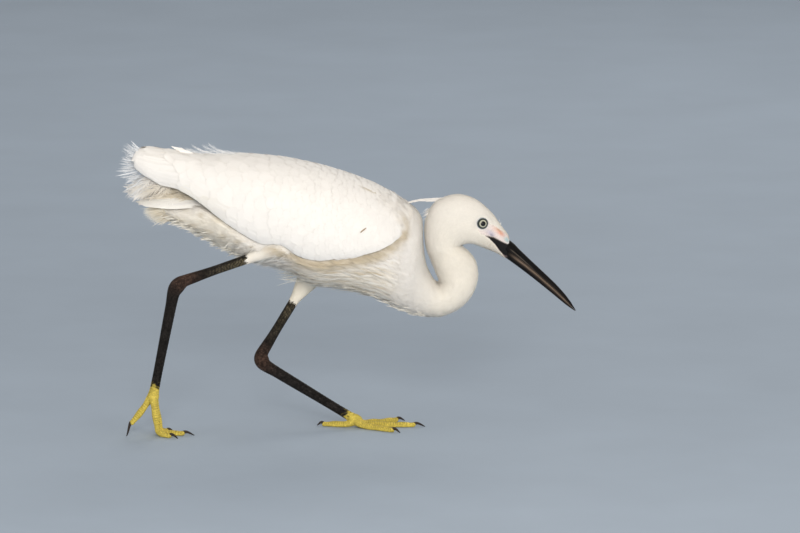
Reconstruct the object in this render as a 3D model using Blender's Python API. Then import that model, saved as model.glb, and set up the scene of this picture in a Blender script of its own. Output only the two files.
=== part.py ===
"""Little egret, life size, stalking: trunk tipped forward, neck folded in a tight S, dagger bill down.

Frame: +X towards the bill, +Y the bird's left, +Z up, metres. The floor is z = 0 and the origin is on it,
under the middle of the bird's bounding box. Run in Blender 4.5.
"""

import math

import bmesh
import bpy
import numpy as np
from mathutils import Vector

# ---------------------------------------------------------------- driving dimensions (metres)
GRID = 0.0009  # the side elevation is drawn on a 0.9 mm grid: u from tail to bill, v downwards
GRID_Z = GRID / math.cos(math.radians(10.0))  # it is drawn from 10 degrees above, so heights are foreshortened
U_ORIGIN, V_FLOOR = 348.40, 430.0  # the grid's u over the origin, and its v on the floor in the middle plane
GAP = 0.0003  # clearance between neighbouring pieces
WING_THICK = 0.0050  # the folded wing's feather layers
WING_EDGE = 0.25  # its edges, as a share of that
TAIL_HALF_WIDTH = 0.0185
TAIL_THICK = 0.0030
TARSUS = 0.104  # ankle to the base of the toes
ANKLE_Y = {-1: -0.026, 1: 0.023}  # the ankles and the toe bases from the middle plane, right and left
FOOT_Y = {-1: -0.028, 1: 0.010}
NEAR_LIFT = 0.0350  # height of the trailing foot's toe base, heel raised
FAR_LIFT = 0.0064  # the standing foot's toe base
STUB = 0.0085  # how far the foot's piece reaches up the tarsus
SOLE = 0.0008  # how deep a toe's underside is flattened by the floor
TOES = {"middle": 0.062, "inner": 0.048, "outer": 0.053, "hind": 0.036}  # with their claws
TOE_ANGLE = {"middle": 2.0, "inner": -33.0, "outer": 33.0, "hind": 166.0}  # degrees, outwards positive
EYE_RADIUS = 0.0058
EYE_AT = (481.5, 221.7, 0.0076)  # u, v and distance from the middle plane
BILL_ROOT, BILL_TIP = (505.5, 249.5), (575.7, 310.6)


def side(u, v, y=0.0):
    """A point of the side elevation, y from the middle plane."""
    return Vector(((u - U_ORIGIN) * GRID, y, (V_FLOOR - v) * GRID_Z - y * math.tan(math.radians(10.0))))


# Stations of the body from the under-tail to the bill: (dorsal u, v, ventral u, v, half width in mm)
BODY = [
    (163.0, 206.5, 163.0, 212.0, 4.5),
    (178.0, 206.0, 180.0, 222.0, 13.3),
    (193.0, 201.0, 194.0, 228.0, 19.6),
    (208.0, 187.0, 211.0, 238.0, 25.8),
    (228.0, 171.0, 233.0, 250.0, 32.9),
    (252.0, 160.0, 257.0, 261.0, 38.3),
    (280.0, 158.5, 284.0, 268.0, 42.7),
    (310.0, 163.0, 312.0, 283.0, 45.4),
    (340.0, 171.0, 338.0, 287.0, 45.8),
    (368.0, 180.5, 360.0, 292.0, 42.7),
    (393.5, 192.5, 377.0, 298.0, 38.3),
    (410.0, 203.0, 390.0, 304.0, 33.8),
    (421.8, 218.0, 400.0, 309.0, 29.4),
    (423.1, 240.0, 411.0, 313.0, 24.5),
    (425.9, 262.0, 421.0, 315.5, 20.5),
    (432.0, 276.0, 432.0, 317.0, 18.0),  # 15: the neck's lowest bend begins
    (436.6, 281.0, 445.0, 315.5, 16.7),
    (438.2, 281.2, 461.0, 307.5, 16.2),
    (438.4, 279.8, 472.5, 295.0, 16.2),
    (437.4, 277.0, 478.0, 279.0, 15.8),
    (434.2, 269.5, 477.0, 264.0, 15.3),
    (430.6, 261.0, 471.0, 253.5, 14.8),
    (426.6, 250.0, 462.5, 245.6, 14.4),  # 22: the top of the neck
    (424.4, 238.0, 464.5, 244.2, 14.7),
    (424.2, 225.0, 469.0, 243.4, 15.0),
    (427.3, 212.5, 474.0, 244.0, 15.5),
    (434.5, 202.2, 479.0, 245.8, 15.6),
    (445.0, 196.4, 483.5, 247.8, 15.6),
    (457.0, 194.0, 487.5, 249.4, 15.0),
    (468.0, 195.8, 491.0, 250.8, 13.6),
    (478.0, 200.5, 494.3, 252.2, 12.0),
    (487.0, 207.8, 497.3, 253.8, 10.3),
    (494.2, 215.3, 500.0, 255.4, 8.8),
    (500.6, 224.6, 502.4, 257.0, 7.9),
    (507.3, 233.2, 504.2, 258.2, 6.7),
    (509.6, 238.8, 505.0, 258.8, 6.1),  # 35: where the bill leaves the feathers
]
TRUNK_END, NECK_A, NECK_B, NECK_END, BODY_END = 12.4, 15.6, 18.6, 22.0, 35.0

# The folded wing in side elevation: (u, top v, lower-edge v, envelope bottom v, envelope half width in mm)
WING = [
    (131.5, 159.0, 164.0, 170.0, 6.6),
    (136.0, 150.0, 171.5, 178.0, 9.0),
    (145.0, 146.6, 178.5, 188.0, 11.9),
    (160.0, 148.0, 186.5, 198.0, 15.1),
    (180.0, 151.0, 191.5, 208.0, 20.9),
    (200.0, 154.0, 203.5, 224.0, 27.1),
    (220.0, 153.6, 219.5, 242.0, 33.4),
    (240.0, 153.6, 233.5, 256.0, 38.7),
    (262.0, 154.6, 245.0, 266.0, 43.2),
    (282.0, 157.4, 246.5, 273.0, 45.8),
    (300.0, 160.8, 258.0, 280.0, 47.3),
    (320.0, 165.5, 262.0, 285.0, 48.1),
    (340.0, 173.0, 259.5, 288.0, 47.6),
    (360.0, 186.0, 256.5, 291.0, 45.8),
    (378.0, 200.0, 251.5, 296.0, 42.7),
    (392.0, 213.0, 244.0, 301.0, 38.7),
    (400.0, 222.5, 237.0, 304.0, 35.6),
    (402.6, 227.5, 233.0, 305.0, 34.4),
]
BACK = [(131.5, 157.0), (136.0, 150.0), (145.0, 146.8), (160.0, 148.0), (200.0, 154.0), (240.0, 153.5), (282.0, 157.0), (320.0, 164.6), (348.0, 173.0), (372.0, 182.0), (395.0, 193.0), (403.0, 198.0)]

# Bill, along its axis: (distance, culmen, gape line, lower edge: offsets on the grid; half width in mm)
BILL = [
    (-19.0, 3.2, 1.6, -0.6, 6.4),
    (-12.0, 4.6, 0.8, -3.4, 6.8),
    (-5.0, 7.0, 0.3, -6.2, 6.6),
    (1.0, 9.7, 0.4, -6.6, 6.3),
    (10.0, 9.3, 1.2, -5.6, 5.8),
    (24.0, 8.6, 2.1, -4.4, 5.0),
    (42.0, 7.9, 2.6, -3.3, 4.2),
    (60.0, 7.1, 2.4, -2.6, 3.4),
    (74.0, 5.5, 1.7, -2.2, 2.6),
    (84.0, 3.4, 0.9, -1.8, 1.7),
    (90.0, 1.5, 0.1, -1.1, 0.9),
    (93.0, 0.5, -0.15, -0.7, 0.4),
]
# The legs: end of the feathering, ankle and water-level point on the grid
NEAR_LEG = {"feather_end": (251.5, 257.8), "ankle": (175.9, 284.0), "shin": (158.8, 369.0), "thigh_top": (306.0, 236.0)}
FAR_LEG = {"feather_end": (294.7, 299.1), "ankle": (256.8, 361.0), "thigh_top": (326.0, 252.0)}


# ---------------------------------------------------------------- helpers
def catmull(rows, t):
    """Smooth value of a table of rows at the fractional row t."""
    rows = np.asarray(rows, float)
    n = len(rows) - 1
    i = min(max(int(math.floor(t)), 0), n - 1)
    f = t - i
    p0, p1, p2, p3 = rows[max(i - 1, 0)], rows[i], rows[i + 1], rows[min(i + 2, n)]
    m1, m2 = (p2 - p0) / 2, (p3 - p1) / 2
    return (2 * f**3 - 3 * f**2 + 1) * p1 + (f**3 - 2 * f**2 + f) * m1 + (-2 * f**3 + 3 * f**2) * p2 + (f**3 - f**2) * m2


def along(rows, x):
    """Smooth value of a table whose first column rises, at x."""
    xs = [r[0] for r in rows]
    i = min(max(int(np.searchsorted(xs, x)) - 1, 0), len(xs) - 2)
    return catmull(rows, i + (x - xs[i]) / (xs[i + 1] - xs[i]))


def power(c, n):
    return math.copysign(abs(c) ** (2.0 / n), c)


def collection(name, hidden=False):
    found = bpy.data.collections.new(name)
    bpy.context.scene.collection.children.link(found)
    found.hide_render = hidden
    return found


def material(name, rgb, rough, metal=0.0):
    m = bpy.data.materials.new(name)
    m.use_nodes = True
    b = m.node_tree.nodes["Principled BSDF"]
    b.inputs["Base Color"].default_value = (*rgb, 1.0)
    b.inputs["Roughness"].default_value = rough
    b.inputs["Metallic"].default_value = metal
    m.diffuse_color = (*rgb, 1.0)
    return m


def object_of(name, mesh, where, mat=None):
    obj = bpy.data.objects.new(name, mesh)
    where.objects.link(obj)
    if mat:
        mesh.materials.append(mat)
    if where is CUTTERS:
        obj.hide_render = True
        obj.display_type = "WIRE"
    else:
        mesh.shade_smooth()
        mesh.set_sharp_from_angle(angle=math.radians(40))
    return obj


def loft(name, rings, where, mat=None):
    """A closed solid through rings of equal counts, with a fan at each end."""
    bm = bmesh.new()
    loops = [[bm.verts.new(p) for p in ring] for ring in rings]
    n = len(loops[0])
    for a, b in zip(loops, loops[1:]):
        for k in range(n):
            bm.faces.new((a[k], a[(k + 1) % n], b[(k + 1) % n]))
            bm.faces.new((a[k], b[(k + 1) % n], b[k]))
    for loop, turn in ((loops[0], -1), (loops[-1], 1)):
        middle = bm.verts.new(sum((v.co for v in loop), Vector()) / n)
        for k in range(n):
            pair = (loop[k], loop[(k + 1) % n])[::turn]
            bm.faces.new((*pair, middle))
    bmesh.ops.recalc_face_normals(bm, faces=bm.faces)
    mesh = bpy.data.meshes.new(name)
    bm.to_mesh(mesh)
    bm.free()
    return object_of(name, mesh, where, mat)


def swell(ring, amount):
    """Moves a ring's points outwards in its own plane."""
    n = len(ring)
    centre = sum(ring, Vector()) / n
    plane = sum(((ring[k] - centre).cross(ring[(k + 1) % n] - centre) for k in range(n)), Vector()).normalized()
    moved = []
    for k, p in enumerate(ring):
        a, b = (p - ring[k - 1]).normalized().cross(plane), (ring[(k + 1) % n] - p).normalized().cross(plane)
        out = (a + b).normalized()
        moved.append(p + out * amount / max(0.5, out.dot(a)))
    return moved


def tube_rings(points, radii, count, flat=1.0, grow=0.0, upright=(0, 1, 0)):
    """Rings square to a path in space. radii is (in-plane, across) or one number per point."""
    points = [Vector(p) for p in points]
    rings = []
    for i, p in enumerate(points):
        t = (points[min(i + 1, len(points) - 1)] - points[max(i - 1, 0)]).normalized()
        across = Vector(upright) - t * t.dot(Vector(upright))
        across.normalize()
        up = across.cross(t)
        r = radii[i]
        rings.append(
            [
                p
                + up * (math.cos(2 * math.pi * k / count) * (r + grow))
                + across * (math.sin(2 * math.pi * k / count) * (r * flat + grow))
                for k in range(count)
            ]
        )
    return rings


def difference(obj, *cutters):
    for cutter in cutters:
        mod = obj.modifiers.new("cut_" + cutter.name, "BOOLEAN")
        mod.operation = "DIFFERENCE"
        mod.solver = "EXACT"
        mod.object = cutter
    return obj


def apply_all(obj):
    """Bakes an object's modifiers into its mesh, and clears slivers."""
    graph = bpy.context.evaluated_depsgraph_get()
    mesh = bpy.data.meshes.new_from_object(obj.evaluated_get(graph))
    bm = bmesh.new()
    bm.from_mesh(mesh)
    bmesh.ops.remove_doubles(bm, verts=bm.verts, dist=0.00004)
    bmesh.ops.dissolve_degenerate(bm, edges=bm.edges, dist=0.00003)
    bm.to_mesh(mesh)
    bm.free()
    obj.modifiers.clear()
    obj.data = mesh
    return obj


# ---------------------------------------------------------------- the body form
def body_ring(t, count, grow=0.0, push=0.0):
    """The body's section at station t: an oval between the dorsal and ventral points."""
    du, dv, vu, vv, half = catmull(BODY, t)
    d, v = side(du, dv), side(vu, vv)
    c, axis = (d + v) / 2, (d - v) / 2
    h = axis.length
    axis = axis / h
    normal = Vector((axis.z, 0, -axis.x))
    h, half = h + grow, half * 0.001 + grow
    full = 2.05 + 0.2 * min(1.0, max(0.0, (15.0 - t) / 2.0))
    ring = []
    for k in range(count):
        a = 2 * math.pi * k / count
        across = power(math.sin(a), full) * half
        up = power(math.cos(a), full) * h
        ring.append(c + axis * up + Vector((0, -across, 0)) + normal * push)
    return ring


def body_part(name, t0, t1, step, count, where, mat, grow=0.0, trim=(0.0, 0.0)):
    n = max(2, int(math.ceil((t1 - t0) / step)))
    ts = [t0 + (t1 - t0) * i / n for i in range(n + 1)]
    rings = [body_ring(t, count, grow) for t in ts]
    rings[0] = body_ring(ts[0], count, grow, push=trim[0])
    rings[-1] = body_ring(ts[-1], count, grow, push=trim[1])
    return loft(name, rings, where, mat)


# ---------------------------------------------------------------- the folded wing
def envelope(u):
    """Top and bottom heights and half width of the body with its wings folded, at u."""
    _, _, _, bottom, half = along(WING, u)
    top = along(BACK, u)[1]
    return (V_FLOOR - top) * GRID_Z, (V_FLOOR - bottom) * GRID_Z, half * 0.001


def wing_point(u, f, hand, out=0.0):
    """A point of the folded wing: f runs from its upper edge to its lower edge, out is outwards."""
    at = min(max(u, WING[0][0]), WING[-1][0])
    _, top_v, low_v, _, _ = along(WING, at)
    z_top, z_low, half = envelope(at)
    zc, h = (z_top + z_low) / 2, (z_top - z_low) / 2
    lean, reach = math.atan2(half * math.tan(math.radians(10.0)), h), math.hypot(h, half * math.tan(math.radians(10.0)))
    edge = [max(0.17, math.acos(max(-0.97, min(0.985, ((V_FLOOR - v) * GRID_Z - zc) / reach))) - lean) for v in (top_v, low_v)]
    a = edge[0] + (edge[1] - edge[0]) * f
    return Vector(((u - U_ORIGIN) * GRID, hand * (half + out) * math.sin(a), zc + (h + out) * math.cos(a)))


def wing(name, hand, where, mat, cutter=False):
    """A curved blade: full thickness in the middle, thin at its edges and tip."""
    rows, cols = 20, 7
    grow, proud = (GAP * 1.2, 0.006) if cutter else (0.0, 0.0)
    first, last = WING[0][0] - grow / GRID, WING[-1][0] + grow / GRID
    bm = bmesh.new()
    outer, inner = [], []
    for i in range(rows):
        s = i / (rows - 1)
        u = first + (last - first) * (0.4 * s + 0.6 * (0.5 - 0.5 * math.cos(math.pi * s)))
        span = (wing_point(u, 0, hand) - wing_point(u, 1, hand)).length
        extra = grow / span
        row_out, row_in = [], []
        for j in range(cols):
            f = -extra + (1 + 2 * extra) * j / (cols - 1)
            rim = min(1.0, min(f + extra, 1 + extra - f) / 0.16, (u - first) * GRID / 0.014, (last - u) * GRID / 0.010)
            half = along(WING, min(max(u, WING[0][0]), WING[-1][0]))[4] * 0.001
            thick = min(WING_THICK, half * 0.42) * (WING_EDGE + (1 - WING_EDGE) * math.sqrt(max(0.0, rim)))
            row_out.append(bm.verts.new(wing_point(u, f, hand, proud)))
            row_in.append(bm.verts.new(wing_point(u, f, hand, -thick - (GAP if cutter else 0.0))))
        outer.append(row_out)
        inner.append(row_in)
    for i in range(rows - 1):
        for j in range(cols - 1):
            bm.faces.new((outer[i][j], outer[i][j + 1], outer[i + 1][j + 1], outer[i + 1][j]))
            bm.faces.new((inner[i][j + 1], inner[i][j], inner[i + 1][j], inner[i + 1][j + 1]))
        for j in (0, cols - 1):
            bm.faces.new((outer[i][j], outer[i + 1][j], inner[i + 1][j], inner[i][j]))
    for i in (0, rows - 1):
        for j in range(cols - 1):
            bm.faces.new((outer[i][j], outer[i][j + 1], inner[i][j + 1], inner[i][j]))
    bmesh.ops.recalc_face_normals(bm, faces=bm.faces)
    bmesh.ops.triangulate(bm, faces=bm.faces, quad_method="FIXED")
    mesh = bpy.data.meshes.new(name)
    bm.to_mesh(mesh)
    bm.free()
    return object_of(name, mesh, where, mat)


# ---------------------------------------------------------------- bill
def bill_frame(q, off):
    root, tip = Vector(BILL_ROOT), Vector(BILL_TIP)
    d = (tip - root).normalized()
    n = Vector((d.y, -d.x))
    p = root + d * q + n * off
    return side(p.x, p.y)


def bill_stations(limit=1e9):
    first, last, steps = BILL[0][0], BILL[-1][0], 14
    stations = [first + (last - first) * (1 - (1 - i / steps) ** 1.35) for i in range(steps + 1)]
    return [q for q in stations if q < limit]


def bill_half(name, upper, where, mat):
    rings = []
    for q in bill_stations():
        _, culmen, gape, lower, half = along(BILL, q)
        seam, far = bill_frame(q, gape), bill_frame(q, culmen if upper else lower)
        up = far - seam
        height = max(up.length, 0.0006)
        up.normalize()
        half = half * 0.001 * (1.0 if upper else 0.9)
        rings.append([seam + up * (GAP / 2 + z * (height - GAP / 2)) + Vector((0, y * half, 0)) for y, z in BILL_SECTION])
    return loft(name, rings, where, mat)


# Half a bill in section: flat at the gape line, rounded and narrowing towards the ridge (width share, height share)
BILL_SECTION = [
    (1.0, 0.0), (0.97, 0.28), (0.84, 0.58), (0.52, 0.88), (0.0, 1.0),
    (-0.52, 0.88), (-0.84, 0.58), (-0.97, 0.28), (-1.0, 0.0), (0.0, 0.0),
]


def bill_socket(name, where):
    """Both halves of the bill's root in one, a gap larger, to hollow the face for it."""
    rings = []
    for i, q in enumerate(bill_stations(20.0)):
        _, culmen, gape, lower, half = along(BILL, q)
        middle = bill_frame(q, gape)
        ring = []
        for share in (1, -1):
            far = bill_frame(q, culmen if share > 0 else lower) - middle
            wide = half * 0.001
            rows = BILL_SECTION[0:8] if share > 0 else [BILL_SECTION[8], *BILL_SECTION[7:0:-1]]
            for y, z in rows:
                ring.append(middle + far * z + Vector((0, y * wide * (0.9 if share < 0 and z > 0 else 1.0), 0)))
        ring = swell(ring, GAP * 1.6)
        if i == 0:
            back = (bill_frame(q - 1, gape) - middle).normalized() * GAP
            ring = [p + back for p in ring]
        rings.append(ring)
    return loft(name, rings, where)


# ---------------------------------------------------------------- legs
def leg_points(leg, hand):
    """End of the feathering, ankle and toe base of one leg, in space."""
    y = ANKLE_Y[hand]
    top = side(*leg["feather_end"], y * 1.10)
    ankle = side(*leg["ankle"], y)
    if "shin" in leg:
        way = (side(*leg["shin"], y) - ankle).normalized()
        drop = ankle.z - NEAR_LIFT
        low = Vector((ankle.x + way.x / -way.z * drop, FOOT_Y[hand], NEAR_LIFT))
    else:
        drop = ankle.z - FAR_LIFT
        low = Vector((ankle.x + math.sqrt(TARSUS**2 - drop**2), FOOT_Y[hand], FAR_LIFT))
    return top, ankle, low


def leg_path(leg, hand):
    """The bare leg's centre line, with a rounded bend at the ankle, and its radii."""
    top, ankle, low = leg_points(leg, hand)
    a, b = (top - ankle).normalized(), (low - ankle).normalized()
    bend = 0.0095
    path, radii = [], []
    for f in (0.0, 0.16, 0.34, 0.52, 0.70, 0.84):
        path.append(top.lerp(ankle + a * bend, f))
        radii.append(0.0040 + 0.0003 * (1 - f) + 0.0008 * max(0.0, f - 0.6) / 0.24)
    for f, r in ((0.0, 0.0054), (0.25, 0.0063), (0.5, 0.0068), (0.75, 0.0065), (1.0, 0.0057)):
        p0, p1 = ankle + a * bend, ankle + b * bend
        path.append(p0 * (1 - f) ** 2 + (ankle * 0.86 + (p0 + p1) * 0.07) * 2 * f * (1 - f) + p1 * f**2)
        radii.append(r)
    middle = len(path) - 3
    for f in (0.10, 0.22, 0.40, 0.60, 0.80, 0.93, 1.0):
        path.append((ankle + b * bend).lerp(low, f))
        radii.append(0.0052 - 0.0011 * min(1.0, f / 0.7) + 0.0003 * max(0.0, f - 0.8) / 0.2)
    return path, radii, middle


def push_last(rings, back, at_end=True):
    """Moves an end ring along the path, to leave a gap."""
    i, j = (-1, -2) if at_end else (0, 1)
    a, b = sum(rings[i], Vector()) / len(rings[i]), sum(rings[j], Vector()) / len(rings[j])
    step = (b - a).normalized() * back
    rings[i] = [p + step for p in rings[i]]
    return rings


def thigh(name, leg, hand, where, mat, grow=0.0):
    """The feathered part of the leg, from deep in the flank."""
    top, _, _ = leg_points(leg, hand)
    root = side(*leg["thigh_top"], (-1 if hand < 0 else 1) * 0.031)
    near = hand < 0
    sizes = ((0.0, 15.0), (0.25, 13.6), (0.5, 10.6), (0.72, 7.6), (0.88, 5.9), (1.0, 4.9)) if near else ((0.0, 15.0), (0.25, 14.0), (0.5, 12.0), (0.72, 8.8), (0.88, 6.4), (1.0, 4.9))
    path = [root.lerp(top, f) for f, _ in sizes]
    if grow:
        path[-1] = path[-1] + (path[-1] - path[-2]).normalized() * grow
    rings = tube_rings(path, [r * 0.001 for _, r in sizes], 14, 0.86, grow)
    return loft(name, rings, where, mat)


def toe_thick(name, f):
    """A toe's radius, swollen at its joints and drawn to a point along its claw."""
    claw = max(0.0, (f - 0.8) / 0.2)
    if claw:
        return 0.0022 * (1 - claw) ** 0.8 + 0.00045
    return (0.0034 - 0.0011 * f) * (1.0 + 0.09 * math.cos(2 * math.pi * f * (3 if name != "hind" else 2)))


def toe_path(name, base, length, hand, lifted):
    """A toe's centre line from the toe base to the claw's tip, and its radii."""
    yaw = math.radians(TOE_ANGLE[name]) * (1 if hand > 0 else -1)
    ahead = Vector((math.cos(yaw), math.sin(yaw), 0))
    steps, fine = 8, 10
    at = base.copy()
    path, radii = [base.copy()], [toe_thick(name, 0.0)]
    for i in range(1, steps * fine + 1):
        f = i / (steps * fine)
        claw = max(0.0, (f - 0.8) / 0.2)
        level = toe_thick(name, f) * 0.95 - SOLE if not claw else toe_thick(name, f) * 0.95 - 0.0003
        room = at.z - level
        if lifted and name == "hind":  # it trails, clear of the floor
            pitch = math.radians(-58.0 + 14.0 * f)
        else:  # with its heel raised a toe runs down steeply first; either way it levels out on the floor
            steep, curve = (-80.0, 0.0045) if lifted else (-48.0, 0.005)
            pitch = max(math.radians(steep), -math.asin(max(-0.5, min(1.0, room / curve))))
        at = at + (ahead * math.cos(pitch) + Vector((0, 0, math.sin(pitch)))) * (length / (steps * fine))
        if i % fine == 0:
            path.append(at + Vector((0, 0, 0.0010 * math.sin(math.pi * claw))))
            radii.append(toe_thick(name, f))
    return path, radii


def foot(name, leg, hand, where, mat, lifted):
    """Four toes with their claws on a pad, joined, with flat soles on the floor."""
    _, ankle, base = leg_points(leg, hand)
    up = (ankle - base).normalized()
    bm = bmesh.new()
    bmesh.ops.create_uvsphere(bm, u_segments=12, v_segments=8, radius=1.0)
    bmesh.ops.scale(bm, vec=(0.0058, 0.0058, 0.0048) if not lifted else (0.0052, 0.0054, 0.0054), verts=bm.verts)
    bmesh.ops.translate(bm, vec=base, verts=bm.verts)
    mesh = bpy.data.meshes.new(name)
    bm.to_mesh(mesh)
    bm.free()
    pad = object_of(name, mesh, where, mat)
    shin = tube_rings([base - up * 0.001, base + up * 0.004, base + up * (STUB + 0.004)], [0.0045, 0.0044, 0.0042], 12, 0.82)
    parts = [loft(name + "_stub", shin, CUTTERS)]
    for toe, length in TOES.items():
        ahead, aside = {"middle": (0.001, 0.0), "inner": (0.0, -0.0022), "outer": (0.0, 0.0022), "hind": (-0.002, -0.0010)}[toe]
        path, radii = toe_path(toe, base + Vector((ahead, aside * hand, 0)), length, hand, lifted)
        parts.append(loft(f"{name}_{toe}", tube_rings(path, radii, 8, 0.95, upright=(-0.03, 1.0, 0.07)), CUTTERS))
    for part in parts:
        mod = pad.modifiers.new("join", "BOOLEAN")
        mod.operation, mod.solver, mod.object = "UNION", "EXACT", part
    plane = loft(name + "_trim", [[base + up * s + c for c in square(up, 0.0054)] for s in (STUB, 0.03)], CUTTERS)
    floor = loft(name + "_floor", [[Vector((x, y, z)) for x, y in ((-0.3, -0.1), (0.3, -0.1), (0.3, 0.1), (-0.3, 0.1))] for z in (-0.03, 0.0)], CUTTERS)
    difference(pad, plane, floor)
    bpy.context.view_layer.update()
    return apply_all(pad)


def square(normal, half):
    """Corners of a square whose sides lie in and across the side plane."""
    a = Vector((0, 1, 0)) * half
    b = normal.cross(Vector((0, 1, 0))).normalized() * half
    return [a + b, b - a, -a - b, a - b]


# ---------------------------------------------------------------- build
for old in list(bpy.data.objects):
    bpy.data.objects.remove(old)
EGRET = collection("little_egret")
CUTTERS = collection("cutters", hidden=True)

PLUMAGE = material("plumage_white", (0.90, 0.88, 0.83), 0.85)
BILL_MAT = material("bill_black", (0.020, 0.018, 0.018), 0.35)
SKIN_MAT = material("leg_black", (0.030, 0.026, 0.022), 0.55)
FOOT_MAT = material("foot_yellow", (0.55, 0.45, 0.08), 0.6)
EYE_MAT = material("eye", (0.60, 0.58, 0.36), 0.08)

# wings first, since the trunk is hollowed for them
wings = {hand: wing("wing_right" if hand < 0 else "wing_left", hand, EGRET, PLUMAGE) for hand in (-1, 1)}
wing_cut = {hand: wing("cut_wing_%d" % (hand + 1), hand, CUTTERS, None, cutter=True) for hand in (-1, 1)}

# tail: twelve feathers folded to one thin blade, rounded at its end
def tail(name, where, mat, grow=0.0):
    rings = []
    rows = ((134.2, 202.2, 0.34), (137.5, 201.4, 0.66), (144.0, 200.6, 0.86), (158.0, 200.2, 1.0), (176.0, 199.8, 0.98), (194.0, 199.4, 0.90), (212.0, 198.8, 0.72))
    for i, (u, v, wide) in enumerate(rows):
        c = side(u, v)
        half, thick = TAIL_HALF_WIDTH * wide + grow, TAIL_THICK / 2 * (0.55 + 0.45 * min(1.0, i / 3)) + grow
        if i in (0, len(rows) - 1):
            c = c + Vector((-grow if i == 0 else grow, 0, 0))
        # the blade droops a little to both sides
        ring = []
        for k in range(16):
            a = 2 * math.pi * k / 16
            y = power(math.sin(a), 2.6) * half
            droop = -0.0016 * (y / TAIL_HALF_WIDTH) ** 2
            ring.append(c + Vector((0, y, math.cos(a) * thick + droop)))
        rings.append(ring)
    return loft(name, rings, where, mat)


tail("tail", EGRET, PLUMAGE)
tail_cut = tail("cut_tail", CUTTERS, None, GAP)

thighs = {hand: thigh("thigh_right" if hand < 0 else "thigh_left", NEAR_LEG if hand < 0 else FAR_LEG, hand, EGRET, PLUMAGE) for hand in (-1, 1)}
thigh_cut = {hand: thigh("cut_thigh_%d" % (hand + 1), NEAR_LEG if hand < 0 else FAR_LEG, hand, CUTTERS, None, GAP) for hand in (-1, 1)}
for hand in (-1, 1):
    difference(thighs[hand], wing_cut[hand])

trunk = body_part("trunk", 0.0, TRUNK_END, 0.84, 20, EGRET, PLUMAGE, trim=(0.0, -GAP / 2))
difference(trunk, wing_cut[-1], wing_cut[1], thigh_cut[-1], thigh_cut[1], tail_cut)
trunk_cut = body_part("cut_trunk", 0.0, TRUNK_END, 0.84, 20, CUTTERS, None, GAP)

# neck in three lengths, then the head
body_part("neck_lower", TRUNK_END, NECK_A, 0.6, 18, EGRET, PLUMAGE, trim=(GAP / 2, -GAP / 2))
body_part("neck_middle", NECK_A, NECK_B, 0.6, 18, EGRET, PLUMAGE, trim=(GAP / 2, -GAP / 2))
body_part("neck_upper", NECK_B, NECK_END, 0.6, 18, EGRET, PLUMAGE, trim=(GAP / 2, -GAP / 2))
head = body_part("head", NECK_END, BODY_END, 0.88, 18, EGRET, PLUMAGE, trim=(GAP / 2, -GAP / 2))

bill_half("bill_upper", True, EGRET, BILL_MAT)
bill_half("bill_lower", False, EGRET, BILL_MAT)
difference(head, bill_socket("cut_bill", CUTTERS))

for hand in (-1, 1):
    at = side(EYE_AT[0], EYE_AT[1])
    at.y = hand * EYE_AT[2]
    for label, where, grow in (("eye_right" if hand < 0 else "eye_left", EGRET, 0.0), ("cut_eye_%d" % (hand + 1), CUTTERS, GAP)):
        bm = bmesh.new()
        bmesh.ops.create_uvsphere(bm, u_segments=12, v_segments=8, radius=EYE_RADIUS + grow)
        bmesh.ops.rotate(bm, verts=bm.verts, cent=(0, 0, 0), matrix=Vector((0, 0, 1)).rotation_difference(Vector((0, 1, 0))).to_matrix())
        mesh = bpy.data.meshes.new(label)
        bm.to_mesh(mesh)
        bm.free()
        eye = object_of(label, mesh, where, EYE_MAT if where is EGRET else None)
        eye.location = at
        if where is CUTTERS:
            difference(head, eye)

# crest: the nape plumes, laid back
crest_path = [side(u, v) for u, v in ((446.0, 199.8), (438.0, 199.7), (430.0, 200.5), (421.0, 200.6), (414.5, 201.6), (410.6, 202.8))]
crest = loft("crest", tube_rings(crest_path, [0.0015, 0.0017, 0.0016, 0.0014, 0.0009, 0.0005], 10, 1.4), EGRET, PLUMAGE)
head_cut = body_part("cut_head", NECK_END, BODY_END, 0.88, 18, CUTTERS, None, GAP)
difference(crest, head_cut)

# the back plumes: a narrow sheaf between the wings, spreading to a thin fringe past their tips
SHEAF = [  # (u, top v, bottom v, half width in mm)
    (121.4, 164.0, 173.0, 0.6),
    (124.5, 157.0, 180.5, 1.1),
    (130.0, 151.4, 189.5, 1.8),
    (138.0, 147.6, 196.4, 2.6),
    (150.0, 145.6, 197.2, 3.6),
    (164.0, 145.0, 196.6, 4.6),
    (178.0, 145.0, 195.0, 5.6),
    (188.0, 144.2, 192.0, 6.2),
    (200.0, 147.6, 184.0, 6.8),
    (214.0, 150.6, 176.0, 7.2),
    (228.0, 152.6, 168.0, 7.4),
    (240.0, 153.6, 162.0, 7.0),
]
rings = []
for u, top, low, half in SHEAF:
    a, b = side(u, top), side(u, low)
    middle, reach = (a + b) / 2, (a - b) / 2
    rings.append([middle + reach * power(math.cos(2 * math.pi * k / 14), 2.4) + Vector((0, -power(math.sin(2 * math.pi * k / 14), 2.4) * half * 0.001, 0)) for k in range(14)])
plumes = loft("back_plumes", rings, EGRET, PLUMAGE)
difference(plumes, wing_cut[-1], wing_cut[1], trunk_cut, tail_cut)

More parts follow.
